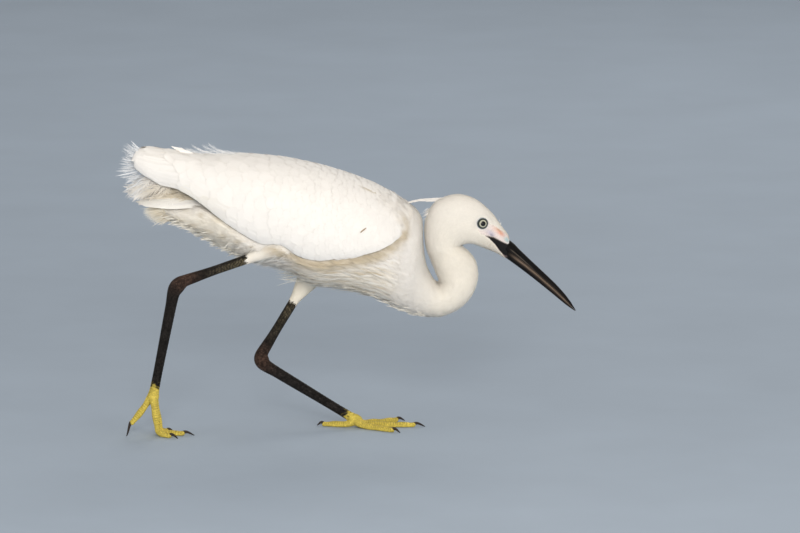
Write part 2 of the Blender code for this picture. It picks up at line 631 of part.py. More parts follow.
# legs
for hand, leg in ((-1, NEAR_LEG), (1, FAR_LEG)):
    tag = "right" if hand < 0 else "left"
    path, radii, middle = leg_path(leg, hand)
    rings = tube_rings(path, radii, 10, 0.82)
    shank = push_last(push_last([list(r) for r in rings[: middle + 1]], GAP, at_end=False), GAP / 2)
    loft("shank_" + tag, shank, EGRET, SKIN_MAT)
    shin = [list(r) for r in rings[middle:]]
    _, ankle, low = leg_points(leg, hand)
    shin = push_last(push_last(shin, GAP / 2, at_end=False), STUB + GAP)
    loft("tarsus_" + tag, shin, EGRET, SKIN_MAT)
    foot("foot_" + tag, leg, hand, EGRET, FOOT_MAT, lifted=hand < 0)

# settle every cut into its mesh
bpy.context.view_layer.update()
for obj in list(EGRET.objects):
    if any(m.type == "BOOLEAN" for m in obj.modifiers):
        apply_all(obj)
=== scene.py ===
import math

import bmesh
import bpy
import numpy as np
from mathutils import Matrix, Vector
from mathutils.kdtree import KDTree


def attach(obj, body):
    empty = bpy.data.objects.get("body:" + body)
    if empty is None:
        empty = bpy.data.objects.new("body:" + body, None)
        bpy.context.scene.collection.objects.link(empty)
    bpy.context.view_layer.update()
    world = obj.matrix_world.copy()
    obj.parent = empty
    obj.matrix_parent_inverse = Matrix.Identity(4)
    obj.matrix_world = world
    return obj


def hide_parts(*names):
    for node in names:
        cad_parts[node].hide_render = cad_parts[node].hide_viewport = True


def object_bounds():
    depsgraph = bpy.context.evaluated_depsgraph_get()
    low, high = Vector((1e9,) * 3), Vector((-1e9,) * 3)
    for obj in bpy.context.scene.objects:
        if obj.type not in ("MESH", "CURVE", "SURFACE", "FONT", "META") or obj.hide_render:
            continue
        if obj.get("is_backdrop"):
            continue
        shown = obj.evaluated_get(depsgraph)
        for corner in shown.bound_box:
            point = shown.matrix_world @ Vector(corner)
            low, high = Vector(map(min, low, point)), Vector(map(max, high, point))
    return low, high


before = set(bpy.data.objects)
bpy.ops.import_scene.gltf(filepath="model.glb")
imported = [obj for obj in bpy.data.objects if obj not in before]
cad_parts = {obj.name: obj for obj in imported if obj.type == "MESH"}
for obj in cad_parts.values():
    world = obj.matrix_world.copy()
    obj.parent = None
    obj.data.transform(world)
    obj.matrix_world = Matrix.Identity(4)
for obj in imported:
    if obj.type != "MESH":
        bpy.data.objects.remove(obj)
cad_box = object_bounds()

# Little egret, life size. One skin stands for the flesh nodes; over it lie feathers, each a strip, lock or vane of mesh
# that follows the form's own streamlines. Side elevation on a 0.9 mm grid (u from tail to bill, v downwards), as in the CAD.
G, COS, TAN = 0.0009, math.cos(math.radians(10.0)), math.tan(math.radians(10.0))
GZ, U0, V0 = G / COS, 348.40, 430.0
MM = 0.001

BODY = np.array([
    (163.0, 206.5, 163.0, 212.0, 4.5), (178.0, 206.0, 180.0, 222.0, 13.3), (193.0, 201.0, 194.0, 228.0, 19.6),
    (208.0, 187.0, 211.0, 238.0, 25.8), (228.0, 171.0, 233.0, 250.0, 32.9), (252.0, 160.0, 257.0, 261.0, 38.3),
    (280.0, 158.5, 284.0, 268.0, 42.7), (310.0, 163.0, 312.0, 283.0, 45.4), (340.0, 171.0, 338.0, 287.0, 45.8),
    (368.0, 180.5, 360.0, 292.0, 42.7), (393.5, 192.5, 377.0, 298.0, 38.3), (410.0, 203.0, 390.0, 304.0, 33.8),
    (421.8, 218.0, 400.0, 309.0, 29.4), (423.1, 240.0, 411.0, 313.0, 24.5), (425.9, 262.0, 421.0, 315.5, 20.5),
    (432.0, 276.0, 432.0, 317.0, 18.0), (436.6, 281.0, 445.0, 315.5, 16.7), (438.2, 281.2, 461.0, 307.5, 16.2),
    (438.4, 279.8, 472.5, 295.0, 16.2), (437.4, 277.0, 478.0, 279.0, 15.8), (434.2, 269.5, 477.0, 264.0, 15.3),
    (430.6, 261.0, 471.0, 253.5, 14.8), (426.6, 250.0, 462.5, 245.6, 14.4), (424.4, 238.0, 464.5, 244.2, 14.7),
    (424.2, 225.0, 469.0, 243.4, 15.0), (427.3, 212.5, 474.0, 244.0, 15.5), (434.5, 202.2, 479.0, 245.8, 15.6),
    (445.0, 196.4, 483.5, 247.8, 15.6), (457.0, 194.0, 487.5, 249.4, 15.0), (468.0, 195.8, 491.0, 250.8, 13.6),
    (478.0, 200.5, 494.3, 252.2, 12.0), (487.0, 207.8, 497.3, 253.8, 10.3), (494.2, 215.3, 500.0, 255.4, 8.8),
    (500.6, 224.6, 502.4, 257.0, 7.9), (507.3, 233.2, 504.2, 258.2, 6.7), (509.6, 238.8, 505.0, 258.8, 6.1),
])
BODY_END = 35.0
WING = np.array([
    (131.5, 159.0, 164.0, 170.0, 6.6), (136.0, 150.0, 171.5, 178.0, 9.0), (145.0, 146.6, 178.5, 188.0, 11.9),
    (160.0, 148.0, 186.5, 198.0, 15.1), (180.0, 151.0, 191.5, 208.0, 20.9), (200.0, 154.0, 203.5, 224.0, 27.1),
    (220.0, 153.6, 219.5, 242.0, 33.4), (240.0, 153.6, 233.5, 256.0, 38.7), (262.0, 154.6, 245.0, 266.0, 43.2),
    (282.0, 157.4, 246.5, 273.0, 45.8), (300.0, 160.8, 258.0, 280.0, 47.3), (320.0, 165.5, 262.0, 285.0, 48.1),
    (340.0, 173.0, 259.5, 288.0, 47.6), (360.0, 186.0, 256.5, 291.0, 45.8), (378.0, 200.0, 251.5, 296.0, 42.7),
    (392.0, 213.0, 244.0, 301.0, 38.7), (400.0, 222.5, 237.0, 304.0, 35.6), (402.6, 227.5, 233.0, 305.0, 34.4),
])
BACK = np.array([(131.5, 157.0), (136.0, 150.0), (145.0, 146.8), (160.0, 148.0), (200.0, 154.0), (240.0, 153.5), (282.0, 157.0), (320.0, 164.6), (348.0, 173.0), (372.0, 182.0), (395.0, 193.0), (403.0, 198.0)])
BILL = np.array([
    (-19.0, 3.2, 1.6, -0.6, 6.4), (-12.0, 4.6, 0.8, -3.4, 6.8), (-5.0, 7.0, 0.3, -6.2, 6.6), (1.0, 9.7, 0.4, -6.6, 6.3),
    (10.0, 9.3, 1.2, -5.6, 5.8), (24.0, 8.6, 2.1, -4.4, 5.0), (42.0, 7.9, 2.6, -3.3, 4.2), (60.0, 7.1, 2.4, -2.6, 3.4),
    (74.0, 5.5, 1.7, -2.2, 2.6), (84.0, 3.4, 0.9, -1.8, 1.7), (90.0, 1.5, 0.1, -1.1, 0.9), (93.0, 0.5, -0.15, -0.7, 0.4),
])
BILL_ROOT, BILL_TIP = (505.5, 249.5), (575.7, 310.6)
EYE_AT, EYE_RADIUS = (482.4, 223.6, 10.9 * MM), 5.8 * MM  # where the lids open, and the eyeball behind them
NEAR_LEG = {"feather_end": (251.5, 257.8), "ankle": (175.9, 284.0), "shin": (158.8, 369.0), "thigh_top": (306.0, 236.0)}
FAR_LEG = {"feather_end": (294.7, 299.1), "ankle": (256.8, 361.0), "thigh_top": (326.0, 252.0)}
TARSUS, NEAR_LIFT, FAR_LIFT, SOLE = 0.104, 0.0350, 0.0064, 0.0008
ANKLE_Y, FOOT_Y = {-1: -0.026, 1: 0.023}, {-1: -0.028, 1: 0.010}
TOES = {"middle": 0.062, "inner": 0.048, "outer": 0.053, "hind": 0.036}
TOE_ANGLE = {"middle": 2.0, "inner": -33.0, "outer": 33.0, "hind": 166.0}
# Bare skin between eye and bill, and the black corner of the bill, on the grid
LORE = np.array([(478.6, 230.9), (481.0, 234.2), (486.5, 236.3), (493.6, 237.6), (502.8, 242.6), (511.0, 246.0), (511.0, 237.0), (507.4, 234.4), (502.8, 231.2), (496.0, 226.6), (488.8, 223.6), (484.5, 222.0), (481.0, 226.0)])
CORNER = np.array([(485.2, 236.0), (493.3, 237.3), (502.8, 242.1), (511.0, 245.5), (513.0, 262.0), (503.4, 255.6), (499.4, 251.2), (494.8, 244.8), (489.5, 239.4)])


# ---------------------------------------------------------------- tables and surfaces
def cat(rows, t):
    """Smooth value of a table of rows at fractional rows t, straight on past its ends."""
    t = np.asarray(t, float)
    n = len(rows) - 1
    i = np.clip(np.floor(t).astype(int), 0, n - 1)
    g = t - i
    f = np.clip(g, 0.0, 1.0)
    past = (g - f)[..., None]
    f = f[..., None]
    p0, p1, p2, p3 = rows[np.maximum(i - 1, 0)], rows[i], rows[i + 1], rows[np.minimum(i + 2, n)]
    m1, m2 = (p2 - p0) / 2, (p3 - p1) / 2
    value = (2 * f**3 - 3 * f**2 + 1) * p1 + (f**3 - 2 * f**2 + f) * m1 + (-2 * f**3 + 3 * f**2) * p2 + (f**3 - f**2) * m2
    slope = (6 * f**2 - 6 * f) * p1 + (3 * f**2 - 4 * f + 1) * m1 + (-6 * f**2 + 6 * f) * p2 + (3 * f**2 - 2 * f) * m2
    return value + slope * past


def along(rows, x):
    """Smooth value of a table whose first column rises, at x."""
    xs = rows[:, 0]
    i = np.clip(np.searchsorted(xs, x) - 1, 0, len(xs) - 2)
    return cat(rows, i + (x - xs[i]) / (xs[i + 1] - xs[i]))


def side(u, v, y=0.0):
    u, v, y = np.broadcast_arrays(np.asarray(u, float), np.asarray(v, float), np.asarray(y, float))
    return np.stack([(u - U0) * G, y, (V0 - v) * GZ - y * TAN], -1)


def grid_of(p):
    """Grid place of points, each side of the bird seen as from its own side."""
    return p[..., 0] / G + U0, V0 - (p[..., 2] - np.abs(p[..., 1]) * TAN) / GZ


def power(c, n):
    return np.sign(c) * np.abs(c) ** (2.0 / n)


def smooth(x, lo, hi):
    x = np.clip((np.asarray(x, float) - lo) / (hi - lo), 0.0, 1.0)
    return x * x * (3 - 2 * x)


def unit(v):
    return v / np.maximum(np.linalg.norm(v, axis=-1, keepdims=True), 1e-12)


def dot(a, b):
    return (a * b).sum(-1)


def body(t, a, out=0.0):
    """The plumage's outer form: station t, angle a from the back down the right side, out metres outwards."""
    r = cat(BODY, t)
    d, v = side(r[..., 0], r[..., 1]), side(r[..., 2], r[..., 3])
    c, axis = (d + v) / 2, (d - v) / 2
    h = np.linalg.norm(axis, axis=-1)
    axis = axis / h[..., None]
    n = 2.05 + 0.2 * np.clip((15.0 - t) / 2.0, 0.0, 1.0)
    half = np.maximum(r[..., 4] * MM, 0.0015)
    p = c + axis * (power(np.cos(a), n) * (h + out))[..., None]
    p[..., 1] -= power(np.sin(a), n) * (half + out)
    return p


def envelope(u):
    w = along(WING, u)
    top = along(BACK, u)[..., 1]
    return (V0 - top) * GZ, (V0 - w[..., 3]) * GZ, w[..., 4] * MM


def fold(u, a, out=0.0):
    """The bird with its wings folded, as one rounded form: a from the back down the right side."""
    top, low, half = envelope(u)
    zc, h = (top + low) / 2, (top - low) / 2
    u, a = np.broadcast_arrays(u, a)
    return np.stack([(u - U0) * G, -(half + out) * np.sin(a), zc + (h + out) * np.cos(a)], -1)


def wing_edges(u):
    """Angles of the folded wing's upper and lower edges."""
    w = along(WING, u)
    top, low, half = envelope(u)
    zc, h = (top + low) / 2, (top - low) / 2
    lean, reach = np.arctan2(half * TAN, h), np.hypot(h, half * TAN)
    return [np.maximum(np.arccos(np.clip(((V0 - w[..., k]) * GZ - zc) / reach, -0.97, 0.985)) - lean, 0.17) for k in (1, 2)]


def wing(hand):
    """The folded wing's outer surface as a function of (u, f, out): f from its upper edge to its lower."""
    def surface(u, f, out=0.0):
        at = np.clip(u, 125.0, 404.5)
        a0, a1 = wing_edges(np.clip(at, WING[0, 0], WING[-1, 0]))
        a = a0 + (a1 - a0) * f
        top, low, half = envelope(at)
        zc, h = (top + low) / 2, (top - low) / 2
        half = np.maximum(half, 0.003)
        return np.stack([(u - U0) * G, hand * (half + out) * np.sin(a), zc + (h + out) * np.cos(a)], -1)
    return surface


def under_wing(p):
    """1 where the folded wing covers the body, 0 clear of it."""
    u = np.clip(p[..., 0] / G + U0, WING[0, 0], 397.0)
    w = along(WING, u)
    top, low = (V0 - w[..., 1]) * GZ, (V0 - w[..., 2]) * GZ
    z = p[..., 2] - np.abs(p[..., 1]) * TAN
    inside = smooth(z - low, -5.5 * MM, 4.5 * MM) * smooth(top - p[..., 2], -1 * MM, 5 * MM)
    return inside * smooth(411.0 - (p[..., 0] / G + U0), 0.0, 15.0) * np.interp(u, [262, 300, 355, 392], [0.75, 1.0, 1.0, 0.5])


def eye_frame(hand):
    """Middle of the lids' opening, the way the eye looks, and the eyeball's centre."""
    at = side(EYE_AT[0], EYE_AT[1], -EYE_AT[2])
    at[1] = hand * EYE_AT[2]
    look = unit(np.array([0.26, hand, 0.06]))
    return at, look, at - look * 3.35 * MM


def orbit(p):
    """How the head's surface moves around the eyes, to meet the lids."""
    move = np.zeros_like(p)
    for hand in (-1, 1):
        at, look, _ = eye_frame(hand)
        d = p - at
        h = dot(d, look)
        rho = np.linalg.norm(d - look * h[..., None], axis=-1)
        level = -0.15 * MM - 3.2 * MM * smooth(4.6 * MM - rho, 0, 1.0 * MM) + 0.10 * rho * smooth(rho, 5 * MM, 9 * MM)
        near = (1 - smooth(rho, 5.4 * MM, 10.5 * MM)) * smooth(h, -8 * MM, -5 * MM)
        move += look * ((level - h) * near)[..., None]
    return move


def flesh(t, a, out=0.0):
    """The body, drawn in under the wings and fitted to the eyes."""
    base = body(t, a)
    p = body(t, a, out - under_wing(base) * 8.5 * MM)
    head_on = np.asarray(t) > 24.0
    if np.any(head_on):
        p = p + orbit(base) * np.broadcast_to(head_on, p.shape[:-1])[..., None]
    return p


def depth(t):
    """How deep the plumage is over the skin."""
    return np.interp(t, [0, 3, 11, 15, 22, 26, 31, 35], [1.6, 3.2, 3.2, 2.2, 1.8, 1.1, 0.9, 0.7]) * MM


def outside(polygon, u, v):
    """Signed distance on the grid to a polygon, negative inside."""
    p = np.stack([u, v], -1)
    best, inside = np.full(u.shape, 1e9), np.zeros(u.shape, bool)
    for a, b in zip(polygon, np.roll(polygon, -1, 0)):
        e, w = b - a, p - a
        k = np.clip((w @ e) / (e @ e), 0, 1)
        best = np.minimum(best, np.linalg.norm(w - k[..., None] * e, axis=-1))
        crosses = (a[1] > p[..., 1]) != (b[1] > p[..., 1])
        with np.errstate(divide="ignore", invalid="ignore"):
            inside ^= crosses & (p[..., 0] < (b[0] - a[0]) * (p[..., 1] - a[1]) / (b[1] - a[1]) + a[0])
    return np.where(inside, -best, best)


# ---------------------------------------------------------------- mesh making
COAT_OBJECTS = []


def link(name, mesh, mats, replaces=()):
    obj = bpy.data.objects.new(name, mesh)
    bpy.context.scene.collection.objects.link(obj)
    for m in mats if isinstance(mats, (list, tuple)) else [mats]:
        mesh.materials.append(m)
    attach(obj, "root")
    if replaces:
        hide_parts(*replaces)
    return obj


def mesh_of(name, verts, tris, uv=None, vane=None, tint=None, soft=True):
    me = bpy.data.meshes.new(name)
    me.vertices.add(len(verts))
    me.vertices.foreach_set("co", np.ascontiguousarray(verts, np.float32).ravel())
    me.loops.add(3 * len(tris))
    me.loops.foreach_set("vertex_index", np.ascontiguousarray(tris, np.int32).ravel())
    me.polygons.add(len(tris))
    me.polygons.foreach_set("loop_start", np.arange(0, 3 * len(tris), 3, dtype=np.int32))
    me.update(calc_edges=True)
    corners = tris.ravel()
    for label, data in (("OFBake", uv), ("Vane", vane)):
        if data is not None:
            me.uv_layers.new(name=label, do_init=False).uv.foreach_set("vector", np.ascontiguousarray(data[corners], np.float32).ravel())
    if tint is not None:
        rgba = np.ones((len(verts), 4), np.float32)
        rgba[:, :3] = tint
        me.color_attributes.new(name="Tint", type="FLOAT_COLOR", domain="POINT").data.foreach_set("color", rgba.ravel())
    if soft:
        me.shade_smooth()
    return me


def grid_tris(rows, cols, wrap=False, flip=False):
    i, j = np.meshgrid(np.arange(rows - 1), np.arange(cols if wrap else cols - 1), indexing="ij")
    a, b = i * cols + j, i * cols + (j + 1) % cols
    c, d = a + cols, b + cols
    tris = np.concatenate([np.stack([a, c, b], -1).reshape(-1, 3), np.stack([b, c, d], -1).reshape(-1, 3)])
    return tris[:, ::-1] if flip else tris


def closed_tube(rings, flip=False):
    """Verts and tris of rings (rows, cols, 3) with a fan at each end."""
    rows, cols = rings.shape[:2]
    tris = grid_tris(rows, cols, wrap=True)
    verts = np.concatenate([rings.reshape(-1, 3), rings[0].mean(0)[None], rings[-1].mean(0)[None]])
    k = np.arange(cols)
    first, last = rows * cols, rows * cols + 1
    start = np.stack([k, (k + 1) % cols, np.full(cols, first)], -1)
    end = np.stack([(k + 1) % cols + (rows - 1) * cols, k + (rows - 1) * cols, np.full(cols, last)], -1)
    tris = np.concatenate([tris, start, end])
    return verts, tris[:, ::-1] if flip else tris


# ---------------------------------------------------------------- feather shapes
class Shape:
    """Points of one feather: x along it, y across (1 is its half width), z its share of puff."""

    def __init__(self, x, y, z, tris):
        self.x, self.y, self.z, self.tris = np.array(x, float), np.array(y, float), np.array(z, float), np.array(tris, int)


def vane(n, tip=0.5, slant=0.16, point=0.0, ragged=0.25, seed=1):
    """A flat feather: barbs in n groups either side of a shaft, notched along its edge."""
    rng = np.random.default_rng(seed)
    xs = np.linspace(0, 1, n + 1) ** 0.92
    x, y, z, tris = list(xs), [0.0] * (n + 1), [0.35] * (n + 1), []
    def wide(s):
        base = min(1.0, 0.42 + 0.58 * (s / 0.30) ** 0.7) if s < 0.30 else 1.0
        over = max(0.0, (s - tip) / (1 - tip))
        return base * (1 - over ** (2.4 - 1.2 * point)) ** (0.55 + 0.45 * point)
    lean = lambda s: slant * (1 - max(0.0, (s - tip) / (1 - tip)) ** 1.2)  # barbs end square to the shaft at the tip
    for sign in (1, -1):
        for i in range(n):
            w0, w1 = wide(xs[i]), wide(xs[i + 1])
            r = rng.uniform(-1, 1) * ragged * 0.22
            g = 0.006 + 1.2 * ragged * rng.random() ** 4
            a = len(x)
            x += [xs[i] + lean(xs[i]) * w0, xs[i + 1] + lean(xs[i + 1]) * w1 - g * (xs[i + 1] - xs[i])]
            y += [sign * w0 * (1 + r * 0.4), sign * (w1 * 0.98 + 0.02) * (1 + r)]
            z += [-0.3, -0.3 + 0.2 * r]
            quad = [(i, i + 1, a + 1), (i, a + 1, a)]
            tris += [q[::-1] for q in quad] if sign > 0 else quad
    return Shape(x, y, z, tris)


def lock(strips, segs, spread=1.0, splay=0.35, fat=1.5, seed=1, uneven=0.3):
    """A tuft of tapering strips that start close and part a little."""
    rng = np.random.default_rng(seed)
    x, y, z, tris = [], [], [], []
    for j in range(strips):
        c = 0.0 if strips == 1 else (2 * j / (strips - 1) - 1)
        length = 1.0 - uneven * rng.random() - 0.12 * c * c
        start = c * splay + rng.uniform(-0.08, 0.08)
        stop = c * spread + rng.uniform(-0.16, 0.16)
        lift, width = rng.random(), fat / strips
        a = len(x)
        for s in range(segs):
            f = s / segs
            mid = start + (stop - start) * f**1.2
            w = width * (0.75 + 0.5 * math.sin(math.pi * min(1.0, f + 0.25))) * (1 - f**2.2)
            x += [f * length] * 2
            y += [mid - w, mid + w]
            z += [lift * f + 0.02 * j] * 2
        x.append(length)
        y.append(stop)
        z.append(lift)
        for s in range(segs - 1):
            b = a + 2 * s
            tris += [(b, b + 1, b + 3), (b, b + 3, b + 2)]
        tris.append((a + 2 * segs - 2, a + 2 * segs - 1, a + 2 * segs))
    return Shape(x, y, z, [t[::-1] for t in tris])


class Coat:
    """Feathers of one piece, gathered and then made as one mesh."""

    def __init__(self, name):
        self.name, self.v, self.f, self.uv, self.vane, self.tint, self.count = name, [], [], [], [], [], 0

    def add(self, verts, shape, root_uv, length_share, tint):
        """verts (feathers, points, 3); root_uv (feathers, 2); tint (feathers, points, 3)."""
        n, k = verts.shape[:2]
        self.v.append(verts.reshape(-1, 3))
        self.f.append((shape.tris[None] + (np.arange(n) * k)[:, None, None] + self.count).reshape(-1, 3))
        self.count += n * k
        spot = np.stack([shape.x - 0.5, shape.y * 0.5], -1) * 0.003
        self.uv.append((np.clip(root_uv, 0.004, 0.996)[:, None, :] + spot[None]).reshape(-1, 2))
        self.vane.append(np.broadcast_to(np.stack([shape.y * 0.5 + 0.5, shape.x], -1), (n, k, 2)).reshape(-1, 2))
        self.tint.append(np.broadcast_to(tint, (n, k, 3)).reshape(-1, 3))

    def make(self, mat, replaces=()):
        tris = np.concatenate(self.f)
        print(self.name, "triangles", len(tris))
        me = mesh_of(self.name, np.concatenate(self.v), tris, np.concatenate(self.uv), np.concatenate(self.vane), np.concatenate(self.tint))
        COAT_OBJECTS.append(link(self.name, me, mat, replaces))
        return COAT_OBJECTS[-1]


def streams(surface, p, q, length, stations, turn, bend, flow=None, eps=(0.02, 0.01), limit=None):
    """Paths over a surface from (p, q), and how far p and q change for a metre sideways, at each station."""
    ps, qs, lps, lqs = [], [], [], []
    for k, x in enumerate(stations):
        sp = (surface(p + eps[0], q, 0.0) - surface(p - eps[0], q, 0.0)) / (2 * eps[0])
        sq = (surface(p, q + eps[1], 0.0) - surface(p, q - eps[1], 0.0)) / (2 * eps[1])
        e, f, g = dot(sp, sp), dot(sp, sq), dot(sq, sq)
        det = np.maximum(e * g - f * f, 1e-12 * np.maximum(e, 1e-9))
        way = -unit(sp) if flow is None else flow(p, q, sp, sq)
        n = unit(np.cross(sp, sq))
        across = np.cross(n, way)
        angle = (turn + bend * x)[:, None]
        way, across = way * np.cos(angle) + across * np.sin(angle), across * np.cos(angle) - way * np.sin(angle)
        def change(d):
            a, b = dot(d, sp), dot(d, sq)
            dp, dq = (g * a - f * b) / det, (e * b - f * a) / det
            if limit:
                dp, dq = np.clip(dp, -limit[0], limit[0]), np.clip(dq, -limit[1], limit[1])
            return dp, dq
        dp, dq = change(way)
        lp, lq = change(across)
        ps.append(p), qs.append(q), lps.append(lp), lqs.append(lq)
        if k < len(stations) - 1:
            step = length * (stations[k + 1] - x)
            p, q = p + dp * step, q + dq * step
    return [np.stack(v, 1) for v in (ps, qs, lps, lqs)]


def lay(coat, surface, p, q, shape, length, half, low, high, root_uv, tint, turn=0.0, bend=0.0, rise=1.0, puff=0.0, flow=None, eps=(0.02, 0.01), limit=None, keep_p=None, keep_q=None, steps=5):
    """Lays feathers of one shape on a surface: rooted at (p, q), low under it at the root and high at the tip."""
    n = len(p)
    full = lambda v: np.broadcast_to(np.asarray(v, float), (n,)).copy()
    length, half, low, high, turn, bend, puff, rise = map(full, (length, half, low, high, turn, bend, puff, rise))
    reach = max(1.0, shape.x.max())
    stations = np.linspace(0, reach, steps + 1)
    ps, qs, lps, lqs = streams(surface, p, q, length, stations, turn, bend, flow, eps, limit)
    at = shape.x / reach * steps
    i = np.clip(np.floor(at).astype(int), 0, steps - 1)
    f = at - i
    pick = lambda a: a[:, i] * (1 - f) + a[:, i + 1] * f
    aside = shape.y[None] * half[:, None]
    pp, qq = pick(ps) + pick(lps) * aside, pick(qs) + pick(lqs) * aside
    if keep_p:
        pp = np.clip(pp, *keep_p)
    if keep_q:
        qq = np.clip(qq, *keep_q)
    out = low[:, None] + (high - low)[:, None] * np.clip(shape.x, 0, None)[None] ** rise[:, None] + shape.z[None] * puff[:, None]
    verts = surface(pp, qq, out)
    coat.add(verts, shape, root_uv, None, tint(verts) if callable(tint) else tint)
    return verts


def scatter(surface, p0, p1, q0, q1, count, seed, weight=None, cells=(160, 96)):
    """Roots spread evenly over a surface's area (times weight), without clumps."""
    pc, qc = np.linspace(p0, p1, cells[0] + 1), np.linspace(q0, q1, cells[1] + 1)
    pm, qm = np.meshgrid((pc[1:] + pc[:-1]) / 2, (qc[1:] + qc[:-1]) / 2, indexing="ij")
    dp, dq = (p1 - p0) / cells[0] / 2, (q1 - q0) / cells[1] / 2
    sp, sq = surface(pm + dp, qm, 0.0) - surface(pm - dp, qm, 0.0), surface(pm, qm + dq, 0.0) - surface(pm, qm - dq, 0.0)
    area = np.linalg.norm(np.cross(sp, sq), axis=-1)
    if weight is not None:
        area = area * weight(pm, qm)
    total = area.sum()
    rows = area.sum(1)
    cdf = np.concatenate([[0], np.cumsum(rows)]) / total
    k = np.arange(count)
    r1 = (0.5 + k / count) % 1.0
    r1 = (k + 0.5) / count
    r2 = (seed * 0.317 + k * 0.6180339887498949) % 1.0
    i = np.clip(np.searchsorted(cdf, r1) - 1, 0, cells[0] - 1)
    p = pc[i] + (r1 - cdf[i]) / np.maximum(cdf[i + 1] - cdf[i], 1e-15) * (pc[1] - pc[0])
    row = np.cumsum(area, 1) / np.maximum(rows[:, None], 1e-15)
    row = np.concatenate([np.zeros((cells[0], 1)), row], 1)
    j = np.clip((row[i] < r2[:, None]).sum(1) - 1, 0, cells[1] - 1)
    lo, hi = row[i, j], row[i, j + 1]
    q = qc[j] + (r2 - lo) / np.maximum(hi - lo, 1e-15) * (qc[1] - qc[0])
    return p, q, total


def share(values, parts, seed):
    """Splits feathers between shape variants."""
    return np.random.default_rng(seed).integers(0, parts, len(values))


# ---------------------------------------------------------------- materials
def nodes_of(name):
    m = bpy.data.materials.new(name)
    m.use_nodes = True
    tree = m.node_tree
    return m, tree, tree.nodes["Principled BSDF"]


def add(tree, kind, **inputs):
    node = tree.nodes.new(kind)
    for k, v in inputs.items():
        if k.startswith("_"):
            setattr(node, k[1:], v)
        else:
            node.inputs[int(k[1:]) if k[0] == "i" and k[1:].isdigit() else k.replace("_", " ")].default_value = v
    return node


def noise(tree, coords, scale, detail=3.0, rough=0.55):
    n = add(tree, "ShaderNodeTexNoise", Scale=scale, Detail=detail, Roughness=rough)
    tree.links.new(coords, n.inputs["Vector"])
    return n.outputs["Fac"]


def ramp(tree, fac, lo, hi, to_lo, to_hi):
    n = add(tree, "ShaderNodeMapRange")
    for k, v in (("From Min", lo), ("From Max", hi), ("To Min", to_lo), ("To Max", to_hi)):
        n.inputs[k].default_value = v
    tree.links.new(fac, n.inputs["Value"])
    return n.outputs["Result"]


def math_node(tree, op, a, b=None, c=None):
    n = add(tree, "ShaderNodeMath", _operation=op)
    for i, v in enumerate((a, b, c)):
        if v is None:
            continue
        if isinstance(v, (int, float)):
            n.inputs[i].default_value = v
        else:
            tree.links.new(v, n.inputs[i])
    return n.outputs[0]


def times(tree, colour, factor):
    """Colour scaled by a number."""
    n = add(tree, "ShaderNodeVectorMath", _operation="SCALE")
    tree.links.new(colour, n.inputs[0])
    tree.links.new(factor, n.inputs["Scale"])
    return n.outputs[0]


def bump(tree, b, height, strength, distance):
    n = add(tree, "ShaderNodeBump", Strength=strength, Distance=distance)
    tree.links.new(height, n.inputs["Height"])
    tree.links.new(n.outputs["Normal"], b.inputs["Normal"])


def feather_material(name, barbs, strands, strength=0.3):
    """White keratin: its tint from the mesh, fine barbs as relief along each vane, a soft sheen."""
    m, tree, b = nodes_of(name)
    tint = add(tree, "ShaderNodeAttribute", _attribute_name="Tint").outputs["Color"]
    where = add(tree, "ShaderNodeNewGeometry").outputs["Position"]
    wear = ramp(tree, noise(tree, where, 60.0, 4.0), 0.25, 0.75, 0.965, 1.02)
    tree.links.new(times(tree, tint, wear), b.inputs["Base Color"])
    uv = add(tree, "ShaderNodeUVMap", _uv_map="Vane").outputs["UV"]
    split = add(tree, "ShaderNodeSeparateXYZ")
    tree.links.new(uv, split.inputs[0])
    aside = math_node(tree, "ABSOLUTE", math_node(tree, "SUBTRACT", split.outputs["X"], 0.5))
    slanted = math_node(tree, "SUBTRACT", split.outputs["Y"], math_node(tree, "MULTIPLY", aside, 0.55))
    wave = math_node(tree, "SINE", math_node(tree, "MULTIPLY", slanted if barbs else aside, float(barbs or strands)))
    grain = noise(tree, where, 1400.0, 2.0)
    height = math_node(tree, "ADD", math_node(tree, "MULTIPLY", wave, 0.5), grain)
    bump(tree, b, height, strength, 0.00012)
    b.inputs["Roughness"].default_value = 0.62
    b.inputs["Specular IOR Level"].default_value = 0.28
    b.inputs["Sheen Weight"].default_value = 0.25
    b.inputs["Sheen Roughness"].default_value = 0.45
    return m


VANE_MAT = feather_material("feather_vane", 150.0, 0.0, 0.16)
LOCK_MAT = feather_material("feather_down", 0.0, 60.0, 0.22)

WHITE = np.array([0.93, 0.90, 0.86])
CREAM = np.array([0.93, 0.885, 0.79])
# painted shade: the three tans below are laid where shade falls among and under the feathers; the last also darkens
# some breast plumes at random
SHADE = np.array([0.70, 0.62, 0.48])
DARK_SHADE = np.array([0.50, 0.41, 0.27])
SHADOW_AND_TONE_TAN = np.array([0.57, 0.485, 0.345])


